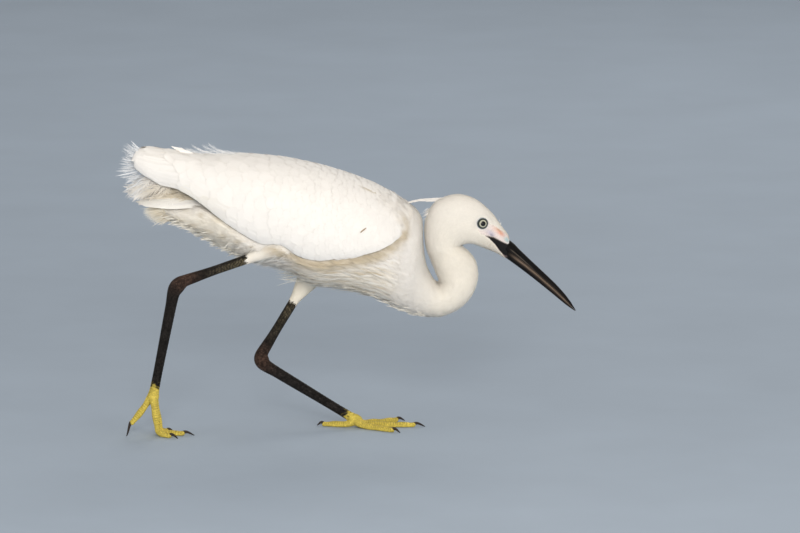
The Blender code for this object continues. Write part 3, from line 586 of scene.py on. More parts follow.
def plumage(p, share_along=None, root_shade=0.0, seed=0, spread=0.03, shaded=True):
    """Tint of feathers at points p (feathers, points, 3): whiter on wings and back, creamier on breast, face and under
    the tail, with painted shade under the wing's edges, under the tail, on the cheek and towards the roots.
    """
    u, v = grid_of(p)
    cream = 0.95 * smooth(v, 200, 225) * smooth(u, 262, 215) + 0.75 * smooth(v, 255, 285) * smooth(420 - u, 0, 60)
    cream = cream + 0.40 * smooth(u, 425, 445) * smooth(v, 205, 246) + 0.35 * smooth(u, 405, 430)
    cream = np.clip(cream, 0, 1)[..., None]
    rng = np.random.default_rng(seed)
    each = 1.0 - spread * rng.random((len(p), 1, 1))
    colour = (WHITE * (1 - cream) + CREAM * cream) * each
    # painted shadow: a tan band under the wing's lower edge and a dark line right at it, and painted shade just before
    # the wing's bend
    low_edge = along(WING, np.clip(u, WING[0, 0], WING[-1, 0]))[..., 2]
    below = v - low_edge
    reach = smooth(u, 262, 285) * smooth(410 - u, 0, 8) * (below > -3)
    shade_and_gleam_band = 0.92 * np.exp(-(((below - 5.0) / 5.5) ** 2)) * reach * np.interp(u, [285, 330, 372, 404], [0.75, 1.0, 1.0, 0.8])
    ahead = u - np.interp(v, [206, 216, 226, 236, 242], [399, 404.0, 407.0, 407.0, 402])
    shade_and_gleam_band = shade_and_gleam_band + 0.50 * np.exp(-((ahead / 3.2) ** 2)) * smooth(v, 208, 220) * smooth(242 - v, 0, 5)
    shade_and_gleam_band = (np.clip(shade_and_gleam_band * (0.8 + 0.4 * rng.random((len(p), 1))), 0, 0.9) * shaded)[..., None]
    colour = colour * (1 - shade_and_gleam_band) + SHADOW_AND_TONE_TAN * shade_and_gleam_band
    shadow = 0.0 * u
    line = np.clip(0.62 * np.exp(-(((below - 0.8) / 2.6) ** 2)) * reach * (0.8 + 0.4 * rng.random((len(p), 1))), 0, 0.8)[..., None] * shaded
    # painted shade: tan patches under the tail, a shadow just under the tail's blade, and flecks of shade on the cheek
    shade_patch = smooth(np.sin(0.33 * u + 0.25 * v + 0.6) + np.sin(0.15 * u - 0.43 * v + 1.0), 0.55, 1.7) * smooth(v, 206, 214) * smooth(262 - u, 0, 22)
    shadow = shadow + 0.55 * shade_patch
    shadow = shadow + 0.40 * np.exp(-(((v - 207.5) / 4.0) ** 2)) * smooth(176 - u, 0, 16)
    cheek_shade = 0.42 * np.exp(-(((u - 488) / 10.0) ** 2) - ((v - 245.5) / 4.2) ** 2) * (rng.random((len(p), 1)) > 0.62)
    shadow = (np.clip(shadow * (0.75 + 0.5 * rng.random((len(p), 1))), 0, 0.85) * shaded + cheek_shade)[..., None]
    colour = colour * (1 - shadow) + SHADE * shadow
    colour = colour * (1 - line) + DARK_SHADE * line
    # painted shade: each feather darker towards its root, where others lie over it
    if share_along is not None and root_shade:
        root = (1 - smooth(share_along, 0.0, 0.75))[None, :, None] * root_shade
        colour = colour * (1 - root) + SHADE * root
    return np.clip(colour, 0, 0.97)


# ---------------------------------------------------------------- coat of the body
def body_uv(t, a):
    return np.stack([np.interp(t, [0, 12, 22, 35], [0.01, 0.5, 0.75, 0.99]), (a / (2 * math.pi)) % 1.0], -1)


def eye_gap(p):
    u, v = grid_of(p)
    return np.where(np.abs(p[..., 1]) > 3 * MM, np.hypot(u - EYE_AT[0], v - EYE_AT[1]), 99.0)


def bare(p, margin=0.4):
    """True where the face has no feathers."""
    u, v = grid_of(p)
    aside = np.abs(p[..., 1]) > 2.2 * MM
    return aside & ((outside(LORE, u, v) < margin) | (outside(CORNER, u, v) < margin) | (np.hypot(u - EYE_AT[0], v - EYE_AT[1]) < 6.0))


def coat_body(coat, t0, t1, count, shapes, length, half, low, high, seed, weight=None, turn=0.10, puff=0.0, root_shade=0.0, keep=None, a0=0.0, a1=2 * math.pi, bend=0.0, rise=1.0, spread=0.03, edge=0.0, mottled=0.0):
    rng = np.random.default_rng(seed)
    t, a, _ = scatter(flesh, t0, t1, a0, a1, count, seed, weight)
    root = flesh(t, a)
    ok = np.ones(len(t), bool) if keep is None else keep(t, a, root)
    t, a, root = t[ok], a[ok], root[ok]
    size = rng.uniform(0.85, 1.15, len(t))
    pick = share(t, len(shapes), seed + 1)
    for k, shape in enumerate(shapes):
        m = pick == k
        tt, aa = t[m], a[m]
        L, H = length(tt, aa) * size[m] * MM, half(tt, aa) * size[m] * MM
        lo, hi = low(tt, aa) * MM, high(tt, aa) * rng.uniform(0.35, 1.65, m.sum()) * MM
        n = m.sum()
        turned, bent = rng.normal(0, turn, n), rng.normal(0, 0.25, n) + (bend(tt, aa) if callable(bend) else bend)
        def tint(verts):
            colour = plumage(verts, shape.x, root_shade, seed + k, spread)
            fade = (1 - smooth(grid_of(verts)[0], 372, 404))[..., None] if edge else 1.0
            mix = mottled * np.random.default_rng(seed + 50 + k).random((len(verts), 1, 1)) ** (2.8 if edge else 1.6) * fade
            colour = colour * (1 - mix) + (SHADOW_AND_TONE_TAN if edge else SHADE) * mix
            # painted shade: dark plume edges, where they lie between others
            rim = edge * smooth(np.abs(shape.y), 0.60, 1.0)[None, :, None] * fade
            return colour * (1 - rim) + DARK_SHADE * rim
        before = coat.count
        verts = lay(coat, flesh, tt, aa, shape, L, H, lo, hi, body_uv(tt, aa), tint, turn=turned, bend=bent, rise=rise, puff=puff(tt, aa) * MM if callable(puff) else puff * MM, limit=(160, 160))
        good = (eye_gap(verts) > 5.7).all(1)
        if not good.all():  # the few that would lie over the eye
            coat.count = before
            for store in (coat.v, coat.f, coat.uv, coat.vane, coat.tint):
                store.pop()
            coat.add(verts[good], shape, body_uv(tt, aa)[good], None, tint(verts)[good])


TINY = [lock(3, 3, spread=0.9, splay=0.5, fat=1.25, seed=s) for s in range(5)]
SHORT = [lock(4, 3, spread=1.0, splay=0.45, fat=1.5, seed=s) for s in range(10, 16)]
SILK = [lock(7, 3, spread=1.1, splay=0.55, fat=1.7, seed=s, uneven=0.4) for s in range(20, 28)]
WISP = [lock(5, 4, spread=1.5, splay=0.25, fat=0.75, seed=s, uneven=0.5) for s in range(30, 38)]
LANCE = [lock(5, 5, spread=0.55, splay=0.45, fat=1.25, seed=s, uneven=0.25) for s in range(80, 86)]

head = Coat("coat_head")
on = lambda xs, ys: (lambda t, a: np.interp(t, xs, ys))
coat_body(head, 22.2, 34.9, 9800, TINY, on([22, 26, 31, 35], [6.0, 4.6, 2.7, 1.7]), on([22, 26, 31, 35], [0.95, 0.75, 0.50, 0.36]),
          on([22, 30, 35], [-1.2, -0.75, -0.55]), on([22, 27, 31, 35], [0.50, 0.34, 0.14, 0.05]), 3,
          weight=lambda t, a: np.interp(t, [22, 27, 31, 35], [1.0, 1.6, 3.6, 5.0]), keep=lambda t, a, p: ~bare(p), turn=0.14, puff=0.22, root_shade=0.10, spread=0.05)
head.make(LOCK_MAT)

neck = Coat("coat_neck")
coat_body(neck, 11.6, 23.0, 7600, SHORT, on([12, 16, 22], [10.5, 9.0, 6.5]), on([12, 16, 22], [1.9, 1.6, 1.15]),
          on([12, 22], [-2.2, -1.5]), on([12, 22], [0.65, 0.50]), 7, weight=lambda t, a: np.interp(t, [12, 22], [1.0, 1.35]), turn=0.12, puff=0.38, root_shade=0.22, spread=0.06)
neck.make(LOCK_MAT)

trunk = Coat("coat_trunk")
def open_body(t, a, p):
    """Where the wings and mantle leave the trunk in sight."""
    back = (np.abs((a + math.pi) % (2 * math.pi) - math.pi) < 0.75) & (p[:, 0] < (388 - U0) * G)
    return (under_wing(body(t, a)) < 0.75) & ~back
low_side = lambda a: smooth(-np.cos(a), -0.1, 0.6)
coat_body(trunk, 3.6, 12.6, 4300, SILK, lambda t, a: np.interp(t, [3, 8, 12.6], [19, 21, 14]), lambda t, a: np.interp(t, [3, 12.6], [3.1, 2.3]),
          lambda t, a: -2.6 + 0 * t, lambda t, a: 0.25 + 0.6 * low_side(a) * smooth(11 - t, 0, 3), 11, keep=open_body, turn=0.10, puff=lambda t, a: 0.35 + 0.9 * low_side(a) * smooth(11.5 - t, 0, 3), root_shade=0.35, spread=0.06)
trunk.make(LOCK_MAT)

# long lanceolate plumes of the breast, streaming back along the belly
breast = Coat("coat_breast")
coat_body(breast, 5.0, 13.4, 680, LANCE, lambda t, a: np.interp(t, [5, 8, 13.4], [24, 31, 27]), lambda t, a: np.interp(t, [5, 9, 13.4], [2.0, 1.9, 1.4]),
          lambda t, a: -1.6 + 0 * t, lambda t, a: 0.7 + 2.4 * low_side(a) * smooth(13 - t, 0, 4), 57, weight=lambda t, a: 0.05 + smooth(-np.cos(a), -0.15, 0.35), keep=lambda t, a, p: open_body(t, a, p) & (under_wing(body(t, a)) < 0.1), turn=0.07,
          bend=0.0, puff=0.7, root_shade=0.30, spread=0.05, rise=1.3, edge=0.95, mottled=0.95)
breast.make(LOCK_MAT)


# ---------------------------------------------------------------- thighs
def leg_points(leg, hand):
    """End of the feathering, ankle and toe base of one leg."""
    y = ANKLE_Y[hand]
    top, ankle = side(*leg["feather_end"], y * 1.10), side(*leg["ankle"], y)
    if "shin" in leg:
        way = unit(side(*leg["shin"], y) - ankle)
        drop = ankle[2] - NEAR_LIFT
        low = np.array([ankle[0] + way[0] / -way[2] * drop, FOOT_Y[hand], NEAR_LIFT])
    else:
        drop = ankle[2] - FAR_LIFT
        low = np.array([ankle[0] + math.sqrt(TARSUS**2 - drop**2), FOOT_Y[hand], FAR_LIFT])
    return top, ankle, low


THIGH = {
    -1: (NEAR_LEG, np.array([(0.0, 15.0), (0.25, 13.6), (0.5, 10.6), (0.72, 7.6), (0.88, 5.9), (1.0, 4.9)])),
    1: (FAR_LEG, np.array([(0.0, 15.0), (0.25, 14.0), (0.5, 12.0), (0.72, 8.8), (0.88, 6.4), (1.0, 4.9)])),
}


def fold_angle(p):
    """Angle of points around the folded bird's form, from the back down."""
    top, low, half = envelope(np.clip(p[..., 0] / G + U0, 140, 400))
    zc, h = (top + low) / 2, (top - low) / 2
    return np.arccos(np.clip((p[..., 2] - zc) / h, -1, 1))


def thigh(hand):
    """The feathered thigh as a function of (s, a, out): s from the flank to the end of the feathers."""
    leg, sizes = THIGH[hand]
    top, _, _ = leg_points(leg, hand)
    root = side(*leg["thigh_top"], hand * 0.031)
    way = unit(top - root)
    across = unit(np.array([0, 1, 0]) - way * way[1])
    up = np.cross(across, way)
    def surface(s, a, out=0.0):
        r = along(sizes, s)[..., 1] * MM
        r = np.maximum(r, 0.0015)
        s, a, r, out = np.broadcast_arrays(s, a, r, out)
        c = root + (top - root) * s[..., None]
        base = c + up * (np.cos(a) * r)[..., None] + across * (np.sin(a) * r * 0.86)[..., None]
        p = base + up * (np.cos(a) * out)[..., None] + across * (np.sin(a) * out)[..., None]
        # drawn in where the wing lies over it, and smoothly towards its root
        proud = np.maximum(0.0, np.abs(base[..., 1]) - (envelope(np.clip(base[..., 0] / G + U0, 140, 400))[2] - 7.0 * MM) * np.abs(np.sin(fold_angle(base))))
        p[..., 1] -= 0.6 * np.sign(base[..., 1]) * proud * under_wing(base)
        return p
    return surface


# ---------------------------------------------------------------- skin
def skin_mesh():
    """The bird's skin, one closed surface, under the feathers by their depth; its face is bare and coloured."""
    ts = np.concatenate([np.arange(0.02, 12, 0.07), np.arange(12, 22, 0.06), np.arange(22, 28, 0.05), np.arange(28, 35.01, 0.028)])
    n = 120
    a = np.linspace(0, 2 * math.pi, n, endpoint=False)
    t, a = np.meshgrid(ts, a, indexing="ij")
    p = flesh(t, a, -depth(t))
    outer = body(t, a)
    u, v = grid_of(outer)
    aside = smooth(np.abs(outer[..., 1]), 1.5 * MM, 3.0 * MM)
    lore = smooth(-outside(LORE, u, v), -0.9, 0.9) * aside
    corner = smooth(-outside(CORNER, u, v), -0.7, 0.7) * aside * smooth(514 - u, 0, 2)
    eye = smooth(7.4 - np.hypot(u - EYE_AT[0], v - EYE_AT[1]), 0, 1.6) * aside
    face = np.clip(np.maximum(np.maximum(lore, corner), eye), 0, 1)
    out = -depth(t) * (1 - face) + face * -0.25 * MM
    # the face's own form: a shallow hollow before the eye, a groove along the gape, fine creases
    groove = np.exp(-((outside(CORNER, u, v)) / 0.55) ** 2) * (u < 512)
    out = out - face * (0.55 * MM * lore * smooth(u, 484, 491) * smooth(503 - u, 0, 8)) - groove * aside * 0.28 * MM
    crease = np.sin(u * 2.9 + 1.3 * np.sin(v * 1.7)) * np.sin(v * 2.3 - u * 0.9)
    out = out + face * 0.05 * MM * crease
    p = flesh(t, a, out)
    # colours of the face, by named spots on the grid
    tint = np.ones(p.shape) * np.array([0.86, 0.79, 0.70])
    def spot(colour, at, size, amount=1.0, stretch=(1, 0)):
        du, dv = u - at[0], v - at[1]
        s = np.array(stretch, float)
        k = np.linalg.norm(s)
        s = s / k
        alongside, across = du * s[0] + dv * s[1], -du * s[1] + dv * s[0]
        return colour, amount * np.exp(-((alongside / (size * k)) ** 2 + (across / size) ** 2))
    bare_skin = np.array([0.78, 0.67, 0.63])
    paint = face[..., None]
    tint = tint * (1 - paint) + bare_skin * paint
    for colour, weight in (
        spot((0.50, 0.46, 0.56), (490.5, 233.0), 2.6, 0.75, (1.7, 1.0)),
        spot((0.16, 0.17, 0.26), (491.6, 235.4), 0.9, 0.80, (2.4, 0.9)),
        spot((0.85, 0.60, 0.48), (495.4, 229.4), 2.2, 0.55, (1.6, 1.2)),
        spot((0.68, 0.30, 0.20), (500.6, 233.0), 2.1, 0.85, (1.7, 1.5)),
        spot((0.50, 0.27, 0.15), (498.6, 229.9), 0.9, 0.75, (3.4, 2.7)),
        spot((0.76, 0.66, 0.64), (500.0, 238.6), 1.8, 0.6, (1.8, 1.0)),
        spot((0.34, 0.50, 0.52), (506.8, 239.8), 2.4, 0.90, (1.0, 1.1)),
        spot((0.62, 0.66, 0.66), (EYE_AT[0], EYE_AT[1]), 6.6, 0.95),
        spot((0.70, 0.42, 0.42), (499.4, 250.6), 1.6, 0.6, (1.2, 1.4)),
    ):
        w = (weight * face)[..., None]
        tint = tint * (1 - w) + np.array(colour) * w
    black = corner[..., None]
    tint = tint * (1 - black) + np.array([0.010, 0.009, 0.009]) * black
    verts, tris = closed_tube(p)
    tints = np.concatenate([tint.reshape(-1, 3), tint[0, :1], tint[-1, :1]])
    uv = body_uv(np.concatenate([t.ravel(), [0, 35]]), np.concatenate([a.ravel(), [0, 0]]))
    return verts, tris, tints, uv


def skin_material():
    m, tree, b = nodes_of("skin")
    tint = add(tree, "ShaderNodeAttribute", _attribute_name="Tint").outputs["Color"]
    where = add(tree, "ShaderNodeNewGeometry").outputs["Position"]
    mottle = ramp(tree, noise(tree, where, 900.0, 4.0), 0.25, 0.75, 0.84, 1.12)
    tree.links.new(times(tree, tint, mottle), b.inputs["Base Color"])
    cells = add(tree, "ShaderNodeTexVoronoi", Scale=1500.0)
    tree.links.new(where, cells.inputs["Vector"])
    height = math_node(tree, "ADD", cells.outputs["Distance"], math_node(tree, "MULTIPLY", noise(tree, where, 500.0, 3.0), 0.8))
    bump(tree, b, height, 0.35, 0.0002)
    rough = ramp(tree, noise(tree, where, 700.0, 2.0), 0.3, 0.7, 0.36, 0.52)
    tree.links.new(rough, b.inputs["Roughness"])
    b.inputs["Specular IOR Level"].default_value = 0.22
    return m


SKIN_MAT = skin_material()
parts = [skin_mesh()]
for hand in (-1, 1):
    s, a = np.meshgrid(np.linspace(0.0, 1.0, 60), np.linspace(0, 2 * math.pi, 48, endpoint=False), indexing="ij")
    rings = thigh(hand)(s, a, -np.interp(s, [0, 0.7, 1], [2.6, 1.6, 0.9]) * MM)
    v, f = closed_tube(rings, flip=True)
    parts.append((v, f, np.ones(v.shape) * np.array([0.86, 0.79, 0.70]), np.stack([np.linspace(0.3, 0.34, len(v)), np.linspace(0.1, 0.9, len(v))], -1)))
    parts[-1] = (*parts[-1][:2], parts[-1][2], parts[-1][3])


def joined(parts):
    """Several (verts, tris, tint, uv) as one."""
    v, f, c, w, n = [], [], [], [], 0
    for verts, tris, tint, uv in parts:
        v.append(verts), f.append(tris + n), c.append(tint), w.append(uv)
        n += len(verts)
    return np.concatenate(v), np.concatenate(f), np.concatenate(c), np.concatenate(w)


def union(name, parts, mat, replaces):
    """Closed meshes joined into one skin by an exact union; tint and map come across from the nearest of their points."""
    meshes = [mesh_of(f"{name}_{i}", *part[:2], uv=part[3], tint=part[2]) for i, part in enumerate(parts)]
    objs = []
    for i, me in enumerate(meshes):
        obj = bpy.data.objects.new(f"{name}_{i}", me)
        bpy.context.scene.collection.objects.link(obj)
        objs.append(obj)
    for other in objs[1:]:
        mod = objs[0].modifiers.new("join", "BOOLEAN")
        mod.operation, mod.solver, mod.object = "UNION", "EXACT", other
    bpy.context.view_layer.update()
    out = bpy.data.meshes.new_from_object(objs[0].evaluated_get(bpy.context.evaluated_depsgraph_get()))
    out.name = name
    for obj in objs:
        bpy.data.objects.remove(obj)
    out.shade_smooth()
    out.materials.clear()
    return link(name, out, mat, replaces)


skin = union("skin", parts, SKIN_MAT, ("trunk", "neck_lower", "neck_middle", "neck_upper", "head", "thigh_left", "thigh_right"))
print("skin triangles", sum(len(p.vertices) - 2 for p in skin.data.polygons))

# ---------------------------------------------------------------- coat of the thighs
for hand, label in ((-1, "right"), (1, "left")):
    coat = Coat("coat_thigh_" + label)
    surface = thigh(hand)
    s, a, _ = scatter(surface, 0.06, 0.985, 0.0, 2 * math.pi, 2000, 5 + hand, lambda p, q: 0.8 + 1.3 * p)
    down = lambda p, q, sp, sq: unit(sp)
    rng = np.random.default_rng(60 + hand)
    pick = share(s, len(SHORT), 61 + hand)
    for k, shape in enumerate(SHORT):
        m = pick == k
        ss, aa = s[m], a[m]
        L = np.interp(ss, [0, 0.6, 1], [12, 8.5, 5.0]) * MM * rng.uniform(0.85, 1.15, m.sum()) * np.where((ss > 0.93) & (rng.random(m.sum()) > 0.6), rng.uniform(1.3, 2.1, m.sum()), 1.0)
        root = surface(ss, aa)
        tint = plumage(root[:, None, :], shape.x, 0.15, 62 + k) * np.array([1.0, 0.985, 0.94])
        lay(coat, surface, ss, aa, shape, L, np.minimum(L * 0.20, 1.3 * MM), -np.interp(ss, [0, 1], [2.0, 0.9]) * MM, 0.15 * MM, np.stack([0.3 + 0.1 * ss, (aa / (2 * math.pi)) % 1], -1), tint,
            turn=rng.normal(0, 0.10, m.sum()), bend=rng.normal(0, 0.2, m.sum()), puff=0.25 * MM, flow=down, eps=(0.01, 0.01))
    coat.make(LOCK_MAT)

# ---------------------------------------------------------------- wings
COVERTS = [vane(12, tip=0.55, point=0.1, ragged=0.035, seed=s) for s in range(40, 46)]
LONG = [vane(30, tip=0.80, slant=0.035, point=0.25, ragged=0.05, seed=s) for s in range(50, 54)]


def wing_uv(u, f, hand):
    return np.stack([0.01 + 0.98 * (u - 125.0) / 285.0, 0.01 + 0.98 * np.clip(f, 0, 1)], -1)


def wing_roll(u, f):
    """How far the wing's surface turns in along its edges, in mm."""
    span = np.interp(u, [131, 136, 160, 220, 300, 360, 403], [8, 20, 36, 62, 92, 68, 14])
    lower = np.clip(1 - (1 - f) * span / 7.0, 0, 1) ** 2 * 1.4
    front = np.clip(1 - (403.5 - u) * 0.9 / 9.0, 0, 1) ** 2 * 1.5
    return lower + front


for hand, label in ((-1, "right"), (1, "left")):
    bare_wing = wing(hand)
    surface = lambda u, f, out=0.0, w=bare_wing: w(u, f, out - wing_roll(u, np.clip(f, 0, 1)) * MM)
    # the wing's closed core, under its feathers
    rows, cols = 90, 40
    u = 134.5 + (401.6 - 134.5) * np.linspace(0, 1, rows)
    uu, ff = np.meshgrid(u, np.linspace(0.012, 0.985, cols), indexing="ij")
    edge = np.minimum(np.minimum(ff, 1 - ff) / 0.2, np.minimum((uu - 134) / 22, (402 - uu) / 14)).clip(0, 1)
    half = along(WING, uu)[..., 4] * MM
    outer, inner = surface(uu, ff, -1.5 * MM), surface(uu, ff, -np.minimum(2.1 * MM + 2.6 * MM * np.sqrt(edge), half * 0.42))
    front = grid_tris(rows, cols, flip=hand > 0)
    back = grid_tris(rows, cols, flip=hand < 0) + rows * cols
    ring = np.concatenate([np.arange(cols), np.arange(1, rows) * cols + cols - 1, (rows - 1) * cols + np.arange(cols - 2, -1, -1), np.arange(rows - 2, 0, -1) * cols])
    nxt = np.roll(ring, -1)
    rim = np.concatenate([np.stack([ring, nxt, nxt + rows * cols], -1), np.stack([ring, nxt + rows * cols, ring + rows * cols], -1)])
    tris = np.concatenate([front, back, rim if hand < 0 else rim[:, ::-1]])
    verts = np.concatenate([outer.reshape(-1, 3), inner.reshape(-1, 3)])
    me = mesh_of("wing_core_" + label, verts, tris, np.concatenate([wing_uv(uu.ravel(), ff.ravel(), hand)] * 2), None, np.ones((len(verts), 3)) * WHITE * 0.97)
    bm = bmesh.new()
    bm.from_mesh(me)
    bmesh.ops.recalc_face_normals(bm, faces=bm.faces)
    bm.to_mesh(me)
    bm.free()
    link("wing_core_" + label, me, LOCK_MAT, ("wing_" + label,))

    coat = Coat("coat_wing_" + label)
    rng = np.random.default_rng(70 + hand)
    # flight feathers, lowest first: (u of root, f of root, u of tip, f of tip, half width in mm)
    flight = [
        (300, 0.985, 222, 0.985, 5.0), (296, 0.955, 204, 0.97, 5.5), (290, 0.91, 186, 0.945, 6.5), (286, 0.86, 170, 0.91, 7.5), (282, 0.80, 156, 0.85, 8.5), (280, 0.73, 146, 0.77, 9.0),
        (280, 0.65, 139, 0.66, 9.0), (282, 0.56, 134.5, 0.54, 9.0), (285, 0.47, 131.6, 0.40, 9.0), (290, 0.38, 132.2, 0.24, 9.5), (296, 0.29, 134.0, 0.14, 9.5), (299, 0.24, 136.5, 0.07, 9.5), (300, 0.22, 137.0, 0.02, 8.5), (302, 0.20, 142, 0.01, 8.5),
        (308, 0.12, 160, 0.07, 8.0), (314, 0.05, 170.5, 0.0, 6.0),
    ]
    for k, (ua, fa, ub, fb, wide) in enumerate(flight):
        shape = LONG[k % len(LONG)]
        x, y = np.clip(shape.x, 0, 1.03), shape.y
        centre_u = ua + (ub - ua) * x
        centre_f = fa + (fb - fa) * smooth(x, 0.0, 1.0)
        span = np.interp(centre_u, [131, 136, 160, 220, 300, 360, 403], [8, 20, 36, 62, 92, 68, 14])
        f = np.clip(centre_f + y * hand * -1 * wide / span * (1 if hand < 0 else 1), -0.02, 1.0)
        u = centre_u + rng.normal(0, 0.2)
        out = (-1.25 + 1.05 * k / len(flight)) * MM * smooth(1.1 - x, 0.0, 0.15) + (-0.6 * MM) * smooth(x, 0.9, 1.05) + shape.z * 0.12 * MM
        v = surface(np.maximum(u, 131.2), f, out)[None]
        tint = (plumage(v.mean(1, keepdims=True), None, 0, k, shaded=False) * (1 - 0.05 * (np.abs(y) > 0.6))[None, :, None])
        flipped = shape if hand < 0 else Shape(shape.x, shape.y, shape.z, shape.tris)
        coat.add(v, flipped, wing_uv(np.array([(ua + ub) / 2]), np.array([(fa + fb) / 2]), hand), None, tint)
    # a few inner feathers, their ends just below the wing's lower edge, darker where the wing covers them as painted
    # shade
    for k, (ua, ub) in enumerate(((375, 346), (368, 339), (361, 333))):
        shape = COVERTS[k]
        x, y = np.clip(shape.x, 0, 1.03), shape.y
        centre_u = ua + (ub - ua) * x
        span = np.interp(centre_u, [131, 136, 160, 220, 300, 360, 403], [8, 20, 36, 62, 92, 68, 14])
        centre_f = 0.955 + 0.030 * smooth(x, 0.0, 0.9)
        f = np.clip(centre_f + y * 3.4 / span, 0.8, 1.075)
        v = surface(centre_u, f, (-2.6 + 0.9 * smooth(x, 0, 0.8)) * MM + shape.z * 0.2 * MM)[None]
        coat.add(v, shape, wing_uv(np.array([355.0 - 5 * k]), np.array([0.98]), hand), None, WHITE * (0.96 - 0.20 * smooth(f, 1.03, 0.97))[None, :, None])
    # coverts in staggered rows, larger towards the tip
    u, row = 214.0, 0
    while u < 401.5:
        L = np.interp(u, [214, 250, 290, 330, 365, 402], [40, 32, 22, 14, 9.5, 6.0])
        W = np.interp(u, [214, 250, 290, 330, 365, 402], [7.5, 7.0, 6.0, 4.6, 3.6, 2.6])
        span = np.interp(u, [131, 136, 160, 220, 300, 360, 403], [8, 20, 36, 62, 92, 68, 14])
        n = max(4, int(span / (W * 1.25)))
        f = (np.arange(n + 1) + (0.5 if row % 2 else 0.0)) / n
        f = f[f < 1.005] + rng.normal(0, 0.08, (f < 1.005).sum()) / n
        uu = u + rng.normal(0, 0.10 * L / 0.9 * 0.5, len(f)) + 10.0 * (f - 0.5) * smooth(u, 395, 330)
        pick = share(f, len(COVERTS), row)
        for k, shape in enumerate(COVERTS):
            m = pick == k
            if not m.any():
                continue
            us, fs = uu[m], np.clip(f[m], 0.0, 0.955)
            tint = plumage(surface(us, fs)[:, None, :], shape.x, 0.0, row * 7 + k, shaded=False)
            lay(coat, surface, us, fs, shape, L * MM * rng.uniform(0.92, 1.08, m.sum()), W * MM * rng.uniform(0.92, 1.08, m.sum()), -1.15 * MM, 0.02 * MM, wing_uv(us, fs, hand), tint,
                turn=rng.normal(0, 0.04, m.sum()), bend=rng.normal(0, 0.08, m.sum()), puff=0.06 * MM, rise=0.8, eps=(0.5, 0.004), keep_q=(-0.03, 1.0), keep_p=(131.0, 404.0))
        u += 0.30 * L / 0.9
        row += 1
    # painted shade: a thin dark strip on the near wing, for a gap between its feathers
    if hand < 0:
        gap_shade_vane = LONG[0]
        x = np.clip(gap_shade_vane.x, 0, 1)
        v = surface(366.6 - 6.0 * x, 0.62 + 0.075 * x + gap_shade_vane.y * 0.010, (0.45 - 0.2 * x) * MM)[None]
        coat.add(v, gap_shade_vane, wing_uv(np.array([364.0]), np.array([0.65]), hand), None, np.array([0.30, 0.22, 0.13]) * np.ones((1, len(x), 1)))
    coat.make(VANE_MAT)


def faced(me):
    """Turns a closed mesh's faces outwards."""
    bm = bmesh.new()
    bm.from_mesh(me)
    bmesh.ops.recalc_face_normals(bm, faces=bm.faces)
    bm.to_mesh(me)
    bm.free()
    return me



# ---------------------------------------------------------------- mantle over the back
mantle = Coat("coat_mantle")
rng = np.random.default_rng(90)
u, row = 196.0, 0
while u < 402:
    L = np.interp(u, [196, 250, 300, 340, 380, 402], [46, 40, 30, 20, 13, 9])
    W = np.interp(u, [196, 250, 300, 340, 380, 402], [6.0, 6.2, 5.6, 4.6, 3.6, 2.8])
    a0, a1 = wing_edges(np.array(u))
    reach = float(a0 + (a1 - a0) * np.interp(u, [196, 300, 350, 385, 402], [0.10, 0.20, 0.26, 0.16, 0.05]))
    _, _, half = envelope(np.array(u))
    n = max(3, int(2 * reach * float(half) * 1000 * 0.9 / (W * 1.2)))
    a = (np.arange(n + 1) + (0.5 if row % 2 else 0.0)) / n * 2 - 1
    a = np.clip(a[a < 1.02] * reach + rng.normal(0, 0.06, (a < 1.02).sum()) * reach / n * 2, -reach, reach)
    us = u + rng.normal(0, 1.2, len(a)) - 8.0 * (a / reach) ** 2 * smooth(u, 390, 340)
    pick = share(a, len(COVERTS), 200 + row)
    for k, shape in enumerate(COVERTS):
        m = pick == k
        if m.any():
            tint = plumage(fold(us[m], a[m])[:, None, :], shape.x, 0.0, 300 + row * 7 + k)
            edge = np.abs(a[m]) / reach
            lay(mantle, fold, us[m], a[m], shape, L * MM * rng.uniform(0.9, 1.1, m.sum()), W * MM * rng.uniform(0.9, 1.1, m.sum()), -1.0 * MM, (0.55 - 0.30 * edge) * MM,
                np.stack([0.3 + (us[m] - 190) / 500, 0.5 + a[m] / 7], -1), tint, turn=rng.normal(0, 0.05, m.sum()), bend=rng.normal(0, 0.10, m.sum()), puff=0.08 * MM, rise=0.8, eps=(0.5, 0.01))
    u += 0.28 * L / 0.9
    row += 1
def blade(coat, shape, root, tip, half, y0, y1, uv, tint, bow=0.0):
    """One feather held upright along a straight line of the grid."""
    a, b = np.array(root, float), np.array(tip, float)
    n = np.array([(b - a)[1], -(b - a)[0]]) / np.linalg.norm(b - a)
    x = np.clip(shape.x, 0, 1.02)
    at = a + (b - a) * x[:, None] + n * (shape.y * half / 0.9 + bow * np.sin(math.pi * np.clip(x, 0, 1)))[:, None]
    coat.add(side(at[:, 0], at[:, 1], (y0 + (y1 - y0) * x + 0.4 * shape.z) * MM)[None], shape, np.array([uv], float), None, tint * np.ones((1, len(x), 1)))


for k, (root, tip, half, y0, y1) in enumerate((((190.0, 154.5), (171.3, 146.4), 2.3, -1.0, -2.4), ((196.0, 156.5), (176.5, 149.4), 2.4, -2.0, -4.0))):
    blade(mantle, vane(16, tip=0.35, slant=0.06, point=1.0, ragged=0.03, seed=300 + k), root, tip, half, y0, y1, (0.33, 0.5), WHITE)
mantle.make(VANE_MAT)


